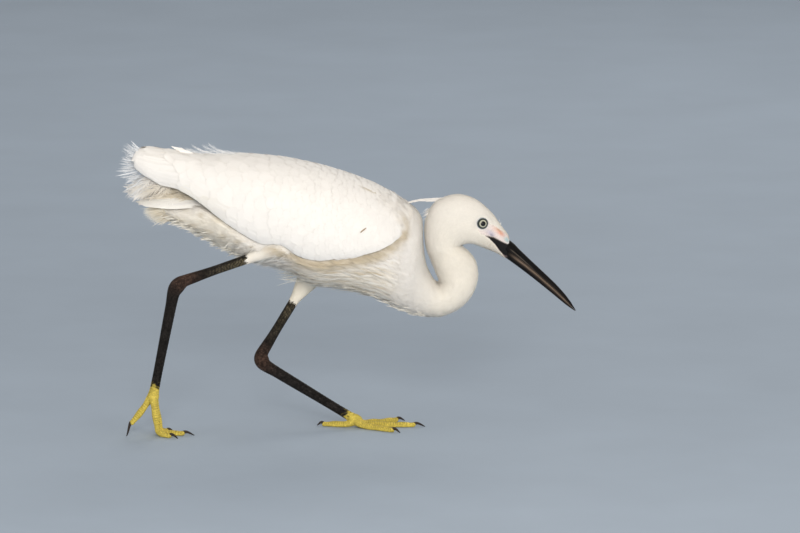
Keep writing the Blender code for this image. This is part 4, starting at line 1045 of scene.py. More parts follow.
# feathers of the lower neck's sides, run back over the wing's front
shoulder = Coat("coat_shoulder")
rng = np.random.default_rng(95)
n = 1000
a = rng.uniform(-1.10, 1.10, n)
u = 416.5 - 17.0 * rng.random(n) ** 1.15 - 3.0 * np.abs(a) ** 2
ok = (np.abs(a) < 0.86 - 0.26 * smooth(406 - u, 0, 8)) & (u < 404 + 9 * smooth(np.abs(a), 0.0, 0.5))
a, u = a[ok], u[ok]
pick = share(u, len(SILK), 96)
for k, shape in enumerate(SILK):
    m = pick == k
    us, as_ = u[m], a[m]
    base = fold(us, as_)
    tint = plumage(base[:, None, :], shape.x, 0.25, 700 + k, 0.05)
    L = rng.uniform(10.0, 14.5, m.sum()) * MM
    lay(shoulder, fold, us, as_, shape, L, 2.1 * MM, -2.8 * MM, rng.uniform(0.05, 0.45, m.sum()) * MM, np.stack([0.5 + (us - 400) / 200, 0.5 + as_ / 7], -1), tint, turn=rng.normal(0, 0.10, m.sum()), bend=rng.normal(0, 0.2, m.sum()), puff=0.15 * MM, eps=(0.5, 0.01))
shoulder.make(LOCK_MAT)


# ---------------------------------------------------------------- loose plumes
def through(points, n):
    """Smooth curve through points, n samples."""
    pts = np.array([np.asarray(p, float) for p in points])
    return cat(pts, np.linspace(0, len(pts) - 1, n))


def ribbons(coat, root, way, bow, length, width, face, uv, colour, segs=3):
    """Hair-thin tapering strips: from root along way, bowed by bow (a vector), each facing its own way."""
    n = len(root)
    f = np.linspace(0, 1, segs + 1)
    c = root[:, None] + (way[:, None] * f[None, :, None] + bow[:, None] * (f**2)[None, :, None]) * length[:, None, None]
    t = unit(way[:, None] + 2 * bow[:, None] * f[None, :, None])
    across = unit(np.cross(t, face[:, None]))
    w = width[:, None, None] * (1 - 0.75 * f**1.5)[None, :, None] / 2
    left, right = c - across * w, c + across * w
    verts = np.concatenate([left[:, :-1], right[:, :-1], c[:, -1:]], 1)
    k = segs
    tris = []
    for i in range(k - 1):
        tris += [(i, i + 1, k + i + 1), (i, k + i + 1, k + i)]
    tris.append((k - 1, 2 * k, 2 * k - 1))
    shape = Shape(np.concatenate([f[:-1], f[:-1], [1.0]]), np.concatenate([-np.ones(k), np.ones(k), [0]]), np.zeros(2 * k + 1), tris)
    coat.add(verts, shape, uv, None, np.broadcast_to(colour, (n, 2 * k + 1, 3)))


def spikes(coat, root, way, length, width, uv, colour, seed, bow=0.12, segs=3, face=(0.0, 1.0, 0.0), spin=0.8):
    """Single hair-thin tapering strips."""
    rng = np.random.default_rng(seed)
    n = len(root)
    ribbons(coat, root, unit(way), rng.normal(0, bow, (n, 3)), length, width, unit(np.array(face) + rng.normal(0, spin, (n, 3))), uv, colour, segs)


def plume(coat, points, barb, step, angle, seed, width=0.30, shaft=0.45, sides=(1, -1), bow=0.25, start=0.0, flat=(0, 1, 0), spin=0.9, colour=WHITE, uv=(0.5, 0.5), tip_share=0.45, drop=0.0, clump=1):
    """A loose feather: a fine shaft along a curve, and free barbs on it."""
    rng = np.random.default_rng(seed)
    path = through(points, 60)
    lengths = np.concatenate([[0], np.cumsum(np.linalg.norm(np.diff(path, axis=0), axis=1))])
    total = lengths[-1]
    n = max(6, int(total * (1 - start) / (step * MM)))
    for s in sides:
        at = start + (1 - start) * (np.arange(n) + rng.uniform(-0.4, 0.4, n) + 0.5) / n
        at = np.clip(at, 0, 0.999) * total
        p = np.stack([np.interp(at, lengths, path[:, i]) for i in range(3)], -1)
        q = np.stack([np.interp(np.minimum(at + 0.5 * MM, total), lengths, path[:, i]) for i in range(3)], -1)
        o = np.stack([np.interp(np.maximum(at - 0.5 * MM, 0), lengths, path[:, i]) for i in range(3)], -1)
        t = unit(q - o)
        lateral = unit(np.cross(t, np.array(flat, float))) * s
        group = np.arange(n) // clump  # barbs that cling to one another share a way and meet at their tips
        shared = lambda s: rng.normal(0, s, (group.max() + 1, 3))[group]
        lateral = unit(lateral + shared(0.16))
        way = unit(t * math.cos(math.radians(angle)) + lateral * math.sin(math.radians(angle)) + shared(0.09) + rng.normal(0, 0.02, (n, 3)))
        if clump > 1:
            way = unit(way + t * (((np.arange(n) % clump) - (clump - 1) / 2) / clump * -0.34)[:, None])
        share_at = at / total
        size = barb * MM * (tip_share + (1 - tip_share) * np.sin(np.pi * np.clip(share_at * 0.9 + 0.08, 0, 1))) * rng.uniform(0.7, 1.15, n)
        curve = (t - way) * bow + shared(0.10) + np.array([0, 0, -drop])
        face = unit(np.array(flat, float) + rng.normal(0, spin, (n, 3)))
        tint = colour * (1 - 0.06 * rng.random((n, 1, 1)))
        ribbons(coat, p, way, curve, size, np.full(n, width * MM) * rng.uniform(0.7, 1.2, n), face, np.broadcast_to(np.array(uv, float), (n, 2)) + rng.uniform(-0.02, 0.02, (n, 2)), tint)
    # the shaft, a three-sided tapering rod
    rings = []
    m = 22
    line = through(points, m)
    tang = unit(np.gradient(line, axis=0))
    side_way = unit(np.cross(tang, np.array(flat, float)))
    third = np.cross(tang, side_way)
    for k in range(m):
        r = shaft * MM / 2 * (1 - 0.85 * k / (m - 1))
        rings.append([line[k] + r * (math.cos(b) * side_way[k] + math.sin(b) * third[k]) for b in (0.0, 2.094, 4.189)])
    verts, tris = closed_tube(np.array(rings))
    shape = Shape(np.zeros(len(verts)), np.zeros(len(verts)), np.zeros(len(verts)), tris)
    coat.add(verts[None], shape, np.array([uv], float), None, np.broadcast_to(colour * 0.99, (1, len(verts), 3)))


loose = Coat("plumes_back")
rng = np.random.default_rng(101)
# painted shade: a cool grey-white for the loose plumes, and a tan laid deep among them and under the tail
COOL_SHADE = np.array([0.88, 0.89, 0.90])
TAN_SHADE = np.array([0.66, 0.56, 0.38])


def fan(count, strands, width, seed, inner, outer, spread, tone):
    """Pointed tufts that stand out behind the wing tips, each a few strands that meet at their ends."""
    rng = np.random.default_rng(seed)
    f = (np.arange(count) + rng.uniform(-0.5, 0.5, count)) / count
    phi = np.radians(46 - 108 * f)
    c = np.array([158.0, 168.0])
    y = rng.uniform(-7.5, 6.0, count)
    far = outer * rng.uniform(0.74, 1.03, count) * (1 - 0.05 * np.sin(9 * phi))
    near = inner * rng.uniform(0.8, 1.25, count) * (1 - 0.25 * smooth(-phi, 0.1, 0.9))
    tip = np.stack([c[0] - far * np.cos(phi), c[1] - far * np.sin(phi)], -1)
    lean = phi * 0.82 + rng.normal(0, 0.10, count)
    root = tip + (far - near)[:, None] * np.stack([np.cos(lean), np.sin(lean)], -1)
    for j in range(strands):
        off = rng.normal(0, spread, (count, 2))
        r3 = side(root[:, 0] + off[:, 0], root[:, 1] + off[:, 1], (y * 0.5 + rng.normal(0, 0.8, count)) * MM)
        t3 = side(tip[:, 0] + rng.normal(0, 0.45, count), tip[:, 1] + rng.normal(0, 0.45, count), y * MM)
        way = t3 - r3
        size = np.linalg.norm(way, axis=-1)
        bow = rng.normal(0, 0.04, (count, 3)) + np.array([0.0, 0.0, 0.05]) * (1 + np.sin(phi))[:, None]
        segs = 4
        along_it = np.concatenate([np.linspace(0, 1, segs + 1)[:-1]] * 2 + [[1.0]])
        # painted shade: strands darker and bluer towards their roots
        root_shadow = (0.34 * (1 - smooth(along_it, 0.25, 0.95)))[None, :, None] * (0.6 + 0.4 * rng.random((count, 1, 1)))
        colour = COOL_SHADE * (1 - root_shadow) + tone * root_shadow
        ribbons(loose, r3, unit(way) - bow, bow, size, np.full(count, width * MM) * rng.uniform(0.7, 1.25, count), unit(np.array([0.0, 1.0, 0.0]) + rng.normal(0, 0.35, (count, 3))),
                np.stack([0.1 + 0.5 * f, 0.3 + 0 * f], -1), colour, segs)


fan(46, 3, 0.55, 410, 21.0, 40.5, 0.7, np.array([0.45, 0.50, 0.58]))
fan(70, 4, 0.20, 411, 24.0, 39.0, 1.2, np.array([0.50, 0.52, 0.55]))
for k in range(9):  # wisps over the back
    u1 = 262 - 6.2 * k + rng.uniform(-3, 3)
    y = rng.uniform(-6, 5) * MM
    v1 = float(along(BACK, np.array(u1))[1])
    lift = (3.0 + 6.0 * rng.random()) * (1.0 if k > 2 else 0.35)
    pts = [side(u1, v1 + 1.8, y), side(u1 - 12, v1 + 0.5, y), side(u1 - 22, v1 - 0.25 * lift, y), side(u1 - 31 - rng.uniform(0, 4), v1 - lift, y)]
    plume(loose, pts, 7.5, 1.5, 20, 480 + k, width=0.22, shaft=0.34, start=0.30, bow=0.35, spin=0.4, uv=(0.4 + 0.02 * k, 0.5), clump=1, colour=COOL_SHADE)
for k in range(42):  # hanging between wing tip and tail, tan inside as painted shade
    u1 = 210 - 1.36 * k + rng.uniform(-1.5, 1.5)
    y = (rng.uniform(-6.0, 6.0), rng.uniform(-9.0, -4.0), rng.uniform(4.0, 9.0))[k % 3] * MM * min(1.0, 0.35 + (u1 - 150) / 60)
    v1 = float(along(WING, np.array(u1 - 6))[2]) - 4.0
    u2 = u1 - 22 - rng.uniform(0, 9)
    v2 = min(199.0, v1 + 8.0 + rng.uniform(0, 8))
    pts = [side(u1, v1 - 2, y), side((u1 * 2 + u2) / 3, v1 + 1.0, y), side((u1 + 2 * u2) / 3, (v1 + 2 * v2) / 3, y), side(u2, v2, y)]
    tan_shade_share = float(np.interp(u2, [134, 150, 165, 185], [0.12, 0.45, 0.8, 0.9])) * rng.uniform(0.7, 1.0)
    plume(loose, pts, 11.0, 0.55, 34, 520 + k, width=0.32, start=0.10, sides=(-1, 1), bow=0.30, spin=0.35, uv=(0.5, 0.3), drop=0.08, clump=4, colour=WHITE * (1 - tan_shade_share) + TAN_SHADE * tan_shade_share)
loose.make(LOCK_MAT, ("back_plumes",))

# ---------------------------------------------------------------- tail
TAIL_HALF = [134, 138, 144, 160, 200, 226], [2.2, 5.0, 8.6, 13.0, 13.0, 9.0]


def tail_surface(u, y, out=0.0):
    """The folded tail as a low roof: u along it, y in metres across, outer feathers lower."""
    top = np.interp(u, [134, 142, 152, 165, 178, 226], [203.2, 201.0, 198.4, 195.6, 194.2, 193.6])
    edge = np.interp(u, [134, 146, 174, 226], [204.0, 204.8, 205.8, 205.8])
    half = np.interp(u, *TAIL_HALF) * MM
    w = np.clip(np.abs(y) / half, 0, 1.15)
    v = top + (edge - top) * w**1.7
    u, y, v, out = np.broadcast_arrays(u, y, v, out)
    p = side(u, v)
    p[..., 1] = y
    p[..., 2] += out + np.abs(y) * TAN
    return p


tail = Coat("coat_tail")
RECTRIX = [vane(30, tip=0.80, slant=0.04, point=0.35, ragged=0.03, seed=s) for s in range(54, 57)]
rng = np.random.default_rng(120)
for k in range(12):
    j = k - 5.5
    shape = RECTRIX[k % len(RECTRIX)]
    x = np.clip(shape.x, 0, 1.02)
    u_tip = 134.4 + abs(j) * 0.7 + rng.uniform(0, 0.8)
    uu = 221 + (u_tip - 221) * x
    half = np.interp(uu, *TAIL_HALF)
    centre = j / 5.5 * np.maximum(half - 3.2, 0.3)
    y = (centre + shape.y * np.minimum(3.4 + 2.0 * smooth(x, 0, 0.8), half * 0.75)) * MM
    out = (0.9 - abs(j) * 0.28) * MM + shape.z * 0.18 * MM
    # vanes a little brighter than the other feathers: painted light where the wing shades the tail
    tail.add(tail_surface(uu, y, out)[None], shape, np.array([[0.2, 0.5 + 0.03 * j]]), None, np.array([0.97, 0.95, 0.90]) * (1 - 0.04 * rng.random()) * np.ones((1, len(x), 1)))
# the tail's core, a thin closed roof under the vanes
rings = []
for u in np.linspace(139.0, 222.0, 24):
    half = float(np.interp(u, *TAIL_HALF)) * MM * 0.93
    y = np.concatenate([np.linspace(-1, 1, 25), np.linspace(1, -1, 25)[1:-1]]) * half
    under = np.concatenate([np.full(25, -0.5), np.full(23, -1.5)]) * MM
    rings.append(tail_surface(np.full(48, u), y, under))
v, f = closed_tube(np.array(rings))
link("tail_core", faced(mesh_of("tail_core", v, f, np.stack([np.linspace(0.1, 0.9, len(v)), np.full(len(v), 0.5)], -1), None, np.ones((len(v), 3)) * WHITE * 0.9)), LOCK_MAT, ("tail",))
tail.make(VANE_MAT)

# ---------------------------------------------------------------- fluffy feathers under the tail and on the flanks
vent = Coat("coat_vent")
low_side = lambda a: smooth(-np.cos(a), -0.2, 0.7)
not_winged = lambda t, a, p: under_wing(body(t, a)) < 0.7
coat_body(vent, -0.15, 5.8, 2600, SILK, lambda t, a: np.interp(t, [0, 2, 5], [13, 18, 19]), lambda t, a: np.interp(t, [0, 5], [2.6, 3.2]),
          lambda t, a: -2.2 + 0 * t, lambda t, a: 0.2 + 1.2 * low_side(a), 31, keep=not_winged, turn=0.20, puff=lambda t, a: 0.5 + 1.5 * low_side(a), root_shade=0.55, spread=0.07)
coat_body(vent, -0.1, 6.6, 620, WISP, lambda t, a: np.interp(t, [0, 2, 6], [15, 21, 18]), lambda t, a: 3.4 + 0 * t,
          lambda t, a: -1.2 + 0 * t, lambda t, a: 0.8 + 4.0 * low_side(a), 37, keep=not_winged, turn=0.34, bend=lambda t, a: 0.0 * t, puff=lambda t, a: 0.6 + 2.0 * low_side(a), root_shade=0.35, spread=0.08, rise=1.7,
          weight=lambda t, a: 0.2 + low_side(a) ** 2)
coat_body(vent, 0.2, 6.2, 420, SHORT, lambda t, a: np.interp(t, [0, 2, 6], [15, 17, 16]), lambda t, a: 1.5 + 0 * t,
          lambda t, a: -1.0 + 0 * t, lambda t, a: 1.6 + 2.6 * low_side(a) ** 2, 39, keep=not_winged, turn=0.30, puff=lambda t, a: 0.8 + 0 * t, root_shade=0.45, spread=0.10, rise=1.9, edge=0.15, weight=lambda t, a: 0.02 + low_side(a) ** 3)
coat_body(vent, -0.2, 3.2, 900, SILK, lambda t, a: 15.0 + 0 * t, lambda t, a: 2.7 + 0 * t, lambda t, a: -1.8 + 0 * t, lambda t, a: 0.1 + 0 * t, 45,
          keep=lambda t, a, p: under_wing(body(t, a)) > 0.6, turn=0.14, puff=0.3, root_shade=0.30, spread=0.06)  # the rump, under the wings
n = 420  # the brush under the tail's root, tan (painted shade) towards its roots
f = rng.random(n)
y = rng.uniform(-7.0, 7.0, n)
root = side(163 + 15 * f + rng.normal(0, 1.0, n), 207.5 + 8.5 * f + rng.normal(0, 1.3, n), y * MM)
tip = side(143.5 + 19 * f + rng.normal(0, 2.0, n), 208.5 + 13.0 * f ** 0.8 + 4.5 * np.sin(math.pi * f) + rng.normal(0, 1.6, n), y * 0.7 * MM)
segs = 4
along_it = np.concatenate([np.linspace(0, 1, segs + 1)[:-1]] * 2 + [[1.0]])
brush_shade = (0.62 * (1 - smooth(along_it, 0.45, 1.0)))[None, :, None] * rng.uniform(0.6, 1.1, (n, 1, 1))
ribbons(vent, root, unit(tip - root), rng.normal(0, 0.05, (n, 3)), np.linalg.norm(tip - root, axis=-1), rng.uniform(0.35, 0.75, n) * MM, unit(np.array([0.0, 1.0, 0.0]) + rng.normal(0, 0.4, (n, 3))),
        np.stack([0.02 + 0.1 * f, 0.5 + y / 40], -1), CREAM * (1 - brush_shade) + TAN_SHADE * brush_shade, segs)


def tufts(coat, root, way, length, width, strands, seed, tone, spread=0.7):
    """Pointed tufts: each a few tapering strands that start apart and meet at their ends."""
    rng = np.random.default_rng(seed)
    n = len(root)
    tip = root + unit(way) * length[:, None]
    shade = 0.45 + 0.55 * rng.random((n, 1, 1))
    curl = rng.normal(0, 0.05, (n, 3))
    segs = 4
    along_it = np.concatenate([np.linspace(0, 1, segs + 1)[:-1]] * 2 + [[1.0]])
    # painted shade: strands darker towards their roots
    root_shadow = (0.48 * (1 - smooth(along_it, 0.10, 0.75)))[None, :, None] * shade
    for j in range(strands):
        start = root + rng.normal(0, spread, (n, 3)) * MM * np.array([1.0, 1.0, 1.0])
        end = tip + rng.normal(0, 0.25, (n, 3)) * MM
        reach = end - start
        ribbons(coat, start, unit(reach) - curl, curl, np.linalg.norm(reach, axis=-1) * rng.uniform(0.85, 1.0, n), width * rng.uniform(0.7, 1.2, n), unit(np.array([0.0, 1.0, 0.1]) + rng.normal(0, 0.4, (n, 3))),
                np.stack([0.3 + 0 * shade[:, 0, 0], 0.2 + 0.6 * shade[:, 0, 0]], -1), tone * (1 - root_shadow) + SHADE * root_shadow, segs)


rng = np.random.default_rng(660)
n = 330  # along the lower edge of the undertail and flank
t = 0.3 + 4.9 * (np.arange(n) + rng.random(n)) / n
a = math.pi + rng.normal(0, 0.42, n)
root = flesh(t, a, -1.2 * MM)
way = np.stack([-1 + 0 * t, rng.normal(0, 0.10, n) - 0.15 * np.sin(a), rng.normal(-0.02, 0.13, n)], -1)
tufts(vent, root, way, rng.uniform(8, 13.5, n) * MM, np.full(n, 0.62 * MM), 4, 661, CREAM)
n = 250  # and smaller ones under belly and breast
t = 5.2 + 9.3 * (np.arange(n) + rng.random(n)) / n
a = math.pi + rng.normal(0, 0.38, n)
root = flesh(t, a, -0.8 * MM)
back_way = -unit(flesh(t + 0.05, a) - flesh(t - 0.05, a))
tufts(vent, root, back_way + np.array([0.0, 0.0, -0.10]) + rng.normal(0, 0.07, (n, 3)), rng.uniform(7, 13, n) * MM, np.full(n, 0.48 * MM), 3, 662, CREAM, spread=0.5)
n = 60  # loose tips behind the flank, over the far thigh
root = side(rng.uniform(291, 301, n), rng.uniform(266, 286, n), 0.0) + np.stack([0 * rng.random(n), rng.uniform(10, 26, n) * MM, 0 * rng.random(n)], -1)
spikes(vent, root, np.stack([-1 + 0 * rng.random(n), rng.normal(0, 0.12, n), rng.normal(-0.02, 0.16, n)], -1), rng.uniform(10, 18, n) * MM, rng.uniform(0.35, 0.75, n) * MM, np.broadcast_to([0.3, 0.5], (n, 2)), CREAM * np.ones((n, 1, 1)), 643, bow=0.08)
vent.make(LOCK_MAT)

# ---------------------------------------------------------------- crest and nape wisps
crest = Coat("crest_plumes")
top_edge = [(449.0, 198.0), (441.0, 198.0), (431.0, 198.8), (421.0, 199.7), (414.5, 200.8), (409.6, 202.2)]
low_edge = [(446.0, 203.0), (438.0, 201.5), (431.0, 201.1), (421.0, 200.8), (415.0, 201.6), (410.0, 202.6)]
for k in range(7):
    w = k / 6
    y = (-1.5 + 3.0 * ((k * 3) % 7) / 6) * MM
    cut = 0 if k % 3 != 1 else 1
    pts = [side(a[0] * (1 - w) + b[0] * w, a[1] * (1 - w) + b[1] * w, 0.0) + np.array([0, y * (1 - 0.8 * i / 5), 0]) for i, (a, b) in enumerate(zip(top_edge, low_edge))][: 6 - cut]
    plume(crest, pts, 6.0, 0.34, 5.0, 600 + k, width=0.36, shaft=0.55, bow=0.8, start=0.03, flat=(0, 1, 0.15), spin=0.30, uv=(0.8, 0.5), tip_share=0.5, colour=WHITE)
rng = np.random.default_rng(640)
n = 46
root = side(rng.uniform(427.5, 431.5, n), rng.uniform(207.5, 220.0, n), 0.0) + np.stack([0 * rng.random(n), rng.uniform(-3.5, 3.5, n) * MM, 0 * rng.random(n)], -1)
spikes(crest, root, np.stack([-0.78 + rng.normal(0, 0.10, n), rng.normal(0, 0.10, n), -0.62 + rng.normal(0, 0.14, n)], -1), rng.uniform(3.5, 7.5, n) * MM, rng.uniform(0.3, 0.55, n) * MM, np.broadcast_to([0.75, 0.5], (n, 2)), WHITE * np.ones((n, 1, 1)), 641, bow=0.08)
n = 12  # a tiny tuft at the end of the forehead
lie = rng.random(n)
root = side(497.6 + 3.6 * lie, 223.6 + 5.2 * lie, 0.0) + np.stack([0 * rng.random(n), rng.uniform(-2.4, 2.4, n) * MM, 0 * rng.random(n)], -1)
spikes(crest, root, np.stack([0.35 + rng.normal(0, 0.15, n), rng.normal(0, 0.12, n), 1.0 + 0 * rng.random(n)], -1), rng.uniform(3.4, 4.8, n) * MM, rng.uniform(0.22, 0.36, n) * MM, np.broadcast_to([0.98, 0.5], (n, 2)), WHITE * np.ones((n, 1, 1)), 642, bow=0.1)
crest.make(LOCK_MAT, ("crest",))


# ---------------------------------------------------------------- eyes
def eye_material():
    m, tree, b = nodes_of("eye_wet")
    tint = add(tree, "ShaderNodeAttribute", _attribute_name="Tint").outputs["Color"]
    where = add(tree, "ShaderNodeNewGeometry").outputs["Position"]
    fine = ramp(tree, noise(tree, where, 2600.0, 4.0), 0.3, 0.7, 0.86, 1.12)
    tree.links.new(times(tree, tint, fine), b.inputs["Base Color"])
    rough = ramp(tree, noise(tree, where, 900.0, 2.0), 0.3, 0.7, 0.10, 0.16)
    tree.links.new(rough, b.inputs["Roughness"])
    b.inputs["Specular IOR Level"].default_value = 0.25
    b.inputs["Coat Weight"].default_value = 0.55
    b.inputs["Coat Roughness"].default_value = 0.02
    return m


EYE_MAT = eye_material()
RIM_MAT, tree, b = nodes_of("eyelid")
tint = add(tree, "ShaderNodeAttribute", _attribute_name="Tint").outputs["Color"]
where = add(tree, "ShaderNodeNewGeometry").outputs["Position"]
tree.links.new(times(tree, tint, ramp(tree, noise(tree, where, 1800.0, 3.0), 0.3, 0.7, 0.82, 1.12)), b.inputs["Base Color"])
bump(tree, b, noise(tree, where, 2200.0, 3.0), 0.4, 0.00012)
b.inputs["Roughness"].default_value = 0.38

for hand, label in ((-1, "right"), (1, "left")):
    _, look, at = eye_frame(hand)
    side_way = unit(np.cross(look, np.array([0, 0, 1.0])))
    up_way = np.cross(side_way, look)
    polar = np.radians(np.concatenate([np.linspace(0.0, 21.6, 9)[1:], np.linspace(22.2, 24.0, 4), np.linspace(25.0, 34.5, 11), np.linspace(35.2, 37.4, 4), np.linspace(40, 178, 24)]))
    n = 72
    a = np.linspace(0, 2 * math.pi, n, endpoint=False)
    th, a2 = np.meshgrid(polar, a, indexing="ij")
    r = EYE_RADIUS * (0.985 + 0.035 * np.exp(-((th / math.radians(30)) ** 2)))  # the cornea stands a little proud
    p = at + look * (np.cos(th) * r)[..., None] + side_way * (np.sin(th) * np.cos(a2) * r)[..., None] + up_way * (np.sin(th) * np.sin(a2) * r)[..., None]
    deg = np.degrees(th)
    rays = 0.10 * np.sin(a2 * 31 + 2 * np.sin(a2 * 7)) * np.sin((deg - 22.5) / 14 * math.pi).clip(0, 1)
    iris = np.array([0.50, 0.495, 0.39])[None, None] * (1 + rays)[..., None]
    iris = iris * (1 - 0.30 * np.exp(-(((deg - 23.6) / 1.6) ** 2)) - 0.40 * smooth(deg, 32, 36))[..., None]
    pupil, ball = np.array([0.004, 0.004, 0.005]), np.array([0.035, 0.042, 0.036])
    inner, outer = smooth(deg, 22.4, 23.4)[..., None], smooth(deg, 35.0, 36.8)[..., None]
    tint = (pupil * (1 - inner) + iris * inner) * (1 - outer) + ball * outer
    v, f = closed_tube(p)
    tints = np.concatenate([tint.reshape(-1, 3), pupil[None], ball[None]])
    uv = np.stack([0.5 + 0.48 * np.sin(th) * np.cos(a2), 0.5 + 0.48 * (th / math.pi) * np.sin(a2)], -1).reshape(-1, 2)
    me = mesh_of("eyeball_" + label, v, f, np.concatenate([uv, [[0.5, 0.5]], [[0.1, 0.1]]]), None, tints)
    bm = bmesh.new()
    bm.from_mesh(me)
    bmesh.ops.recalc_face_normals(bm, faces=bm.faces)
    bm.to_mesh(me)
    bm.free()
    link("eyeball_" + label, me, EYE_MAT, ("eye_" + label,))
    # lids: an upper and a lower fold meeting in two corners, on the eyeball
    rows, cols = 96, 14
    a = np.linspace(0, 2 * math.pi, rows, endpoint=False)
    rings = []
    for ang in a:
        opening = 54.0 + 3.5 * abs(math.cos(ang)) ** 3 - 1.5 * max(0.0, math.sin(ang))
        th = math.radians(opening)
        c = at + (look * math.cos(th) + (side_way * math.cos(ang) + up_way * math.sin(ang)) * math.sin(th)) * (EYE_RADIUS * 1.00)
        radial = unit(c - at)
        outward = unit((side_way * math.cos(ang) + up_way * math.sin(ang)) * math.cos(th) - look * math.sin(th))
        thick = (0.42 + 0.10 * abs(math.sin(ang)) + 0.02 * math.sin(ang * 23)) * MM
        rings.append([c + radial * (thick * 0.75 * math.sin(b)) + outward * (thick * 1.5 * math.cos(b) + thick * 0.6) for b in np.linspace(0, 2 * math.pi, cols, endpoint=False)])
    rings = np.array(rings)
    tris = grid_tris(rows, cols, wrap=True)
    last = (rows - 1) * cols
    j = np.arange(cols)
    tris = np.concatenate([tris, np.stack([last + j, j, last + (j + 1) % cols], -1), np.stack([last + (j + 1) % cols, j, (j + 1) % cols], -1)])
    b_at = np.broadcast_to(np.linspace(0, 2 * math.pi, cols, endpoint=False), (rows, cols))
    near_eye = smooth(-np.cos(b_at), -0.2, 0.8)[..., None]
    tint = (np.array([0.50, 0.56, 0.58]) * (1 - near_eye) + np.array([0.05, 0.06, 0.06]) * near_eye).reshape(-1, 3)
    me = mesh_of("lids_" + label, rings.reshape(-1, 3), tris, np.stack([np.repeat(a / 6.3, cols), b_at.ravel() / 6.3], -1), None, tint)
    bm = bmesh.new()
    bm.from_mesh(me)
    bmesh.ops.recalc_face_normals(bm, faces=bm.faces)
    bm.to_mesh(me)
    bm.free()
    link("lids_" + label, me, RIM_MAT, ())


# ---------------------------------------------------------------- bill
def bill_at(q, off, y=0.0):
    root, tip = np.array(BILL_ROOT), np.array(BILL_TIP)
    d = (tip - root) / np.linalg.norm(tip - root)
    n = np.array([d[1], -d[0]])
    q, off = np.broadcast_arrays(np.asarray(q, float), np.asarray(off, float))
    p = side(root[0] + d[0] * q + n[0] * off, root[1] + d[1] * q + n[1] * off)
    p[..., 1] += y
    return p


def horn_material(name, rough_lo, rough_hi, coat):
    m, tree, b = nodes_of(name)
    tint = add(tree, "ShaderNodeAttribute", _attribute_name="Tint").outputs["Color"]
    where = add(tree, "ShaderNodeNewGeometry").outputs["Position"]
    turned = add(tree, "ShaderNodeMapping", _vector_type="TEXTURE")
    tree.links.new(where, turned.inputs["Vector"])
    turned.inputs["Rotation"].default_value = (0, math.radians(41.0), 0)
    turned.inputs["Scale"].default_value = (14.0, 1.0, 1.0)
    streaks = noise(tree, turned.outputs[0], 1500.0, 4.0)
    tree.links.new(times(tree, tint, ramp(tree, streaks, 0.25, 0.75, 0.62, 1.35)), b.inputs["Base Color"])
    height = math_node(tree, "ADD", streaks, math_node(tree, "MULTIPLY", noise(tree, where, 420.0, 3.0), 0.5))
    bump(tree, b, height, 0.30, 0.00012)
    tree.links.new(ramp(tree, noise(tree, where, 260.0, 3.0), 0.3, 0.7, rough_lo, rough_hi), b.inputs["Roughness"])
    b.inputs["Specular IOR Level"].default_value = 0.12
    b.inputs["Coat Weight"].default_value = coat
    b.inputs["Coat Roughness"].default_value = 0.22
    return m


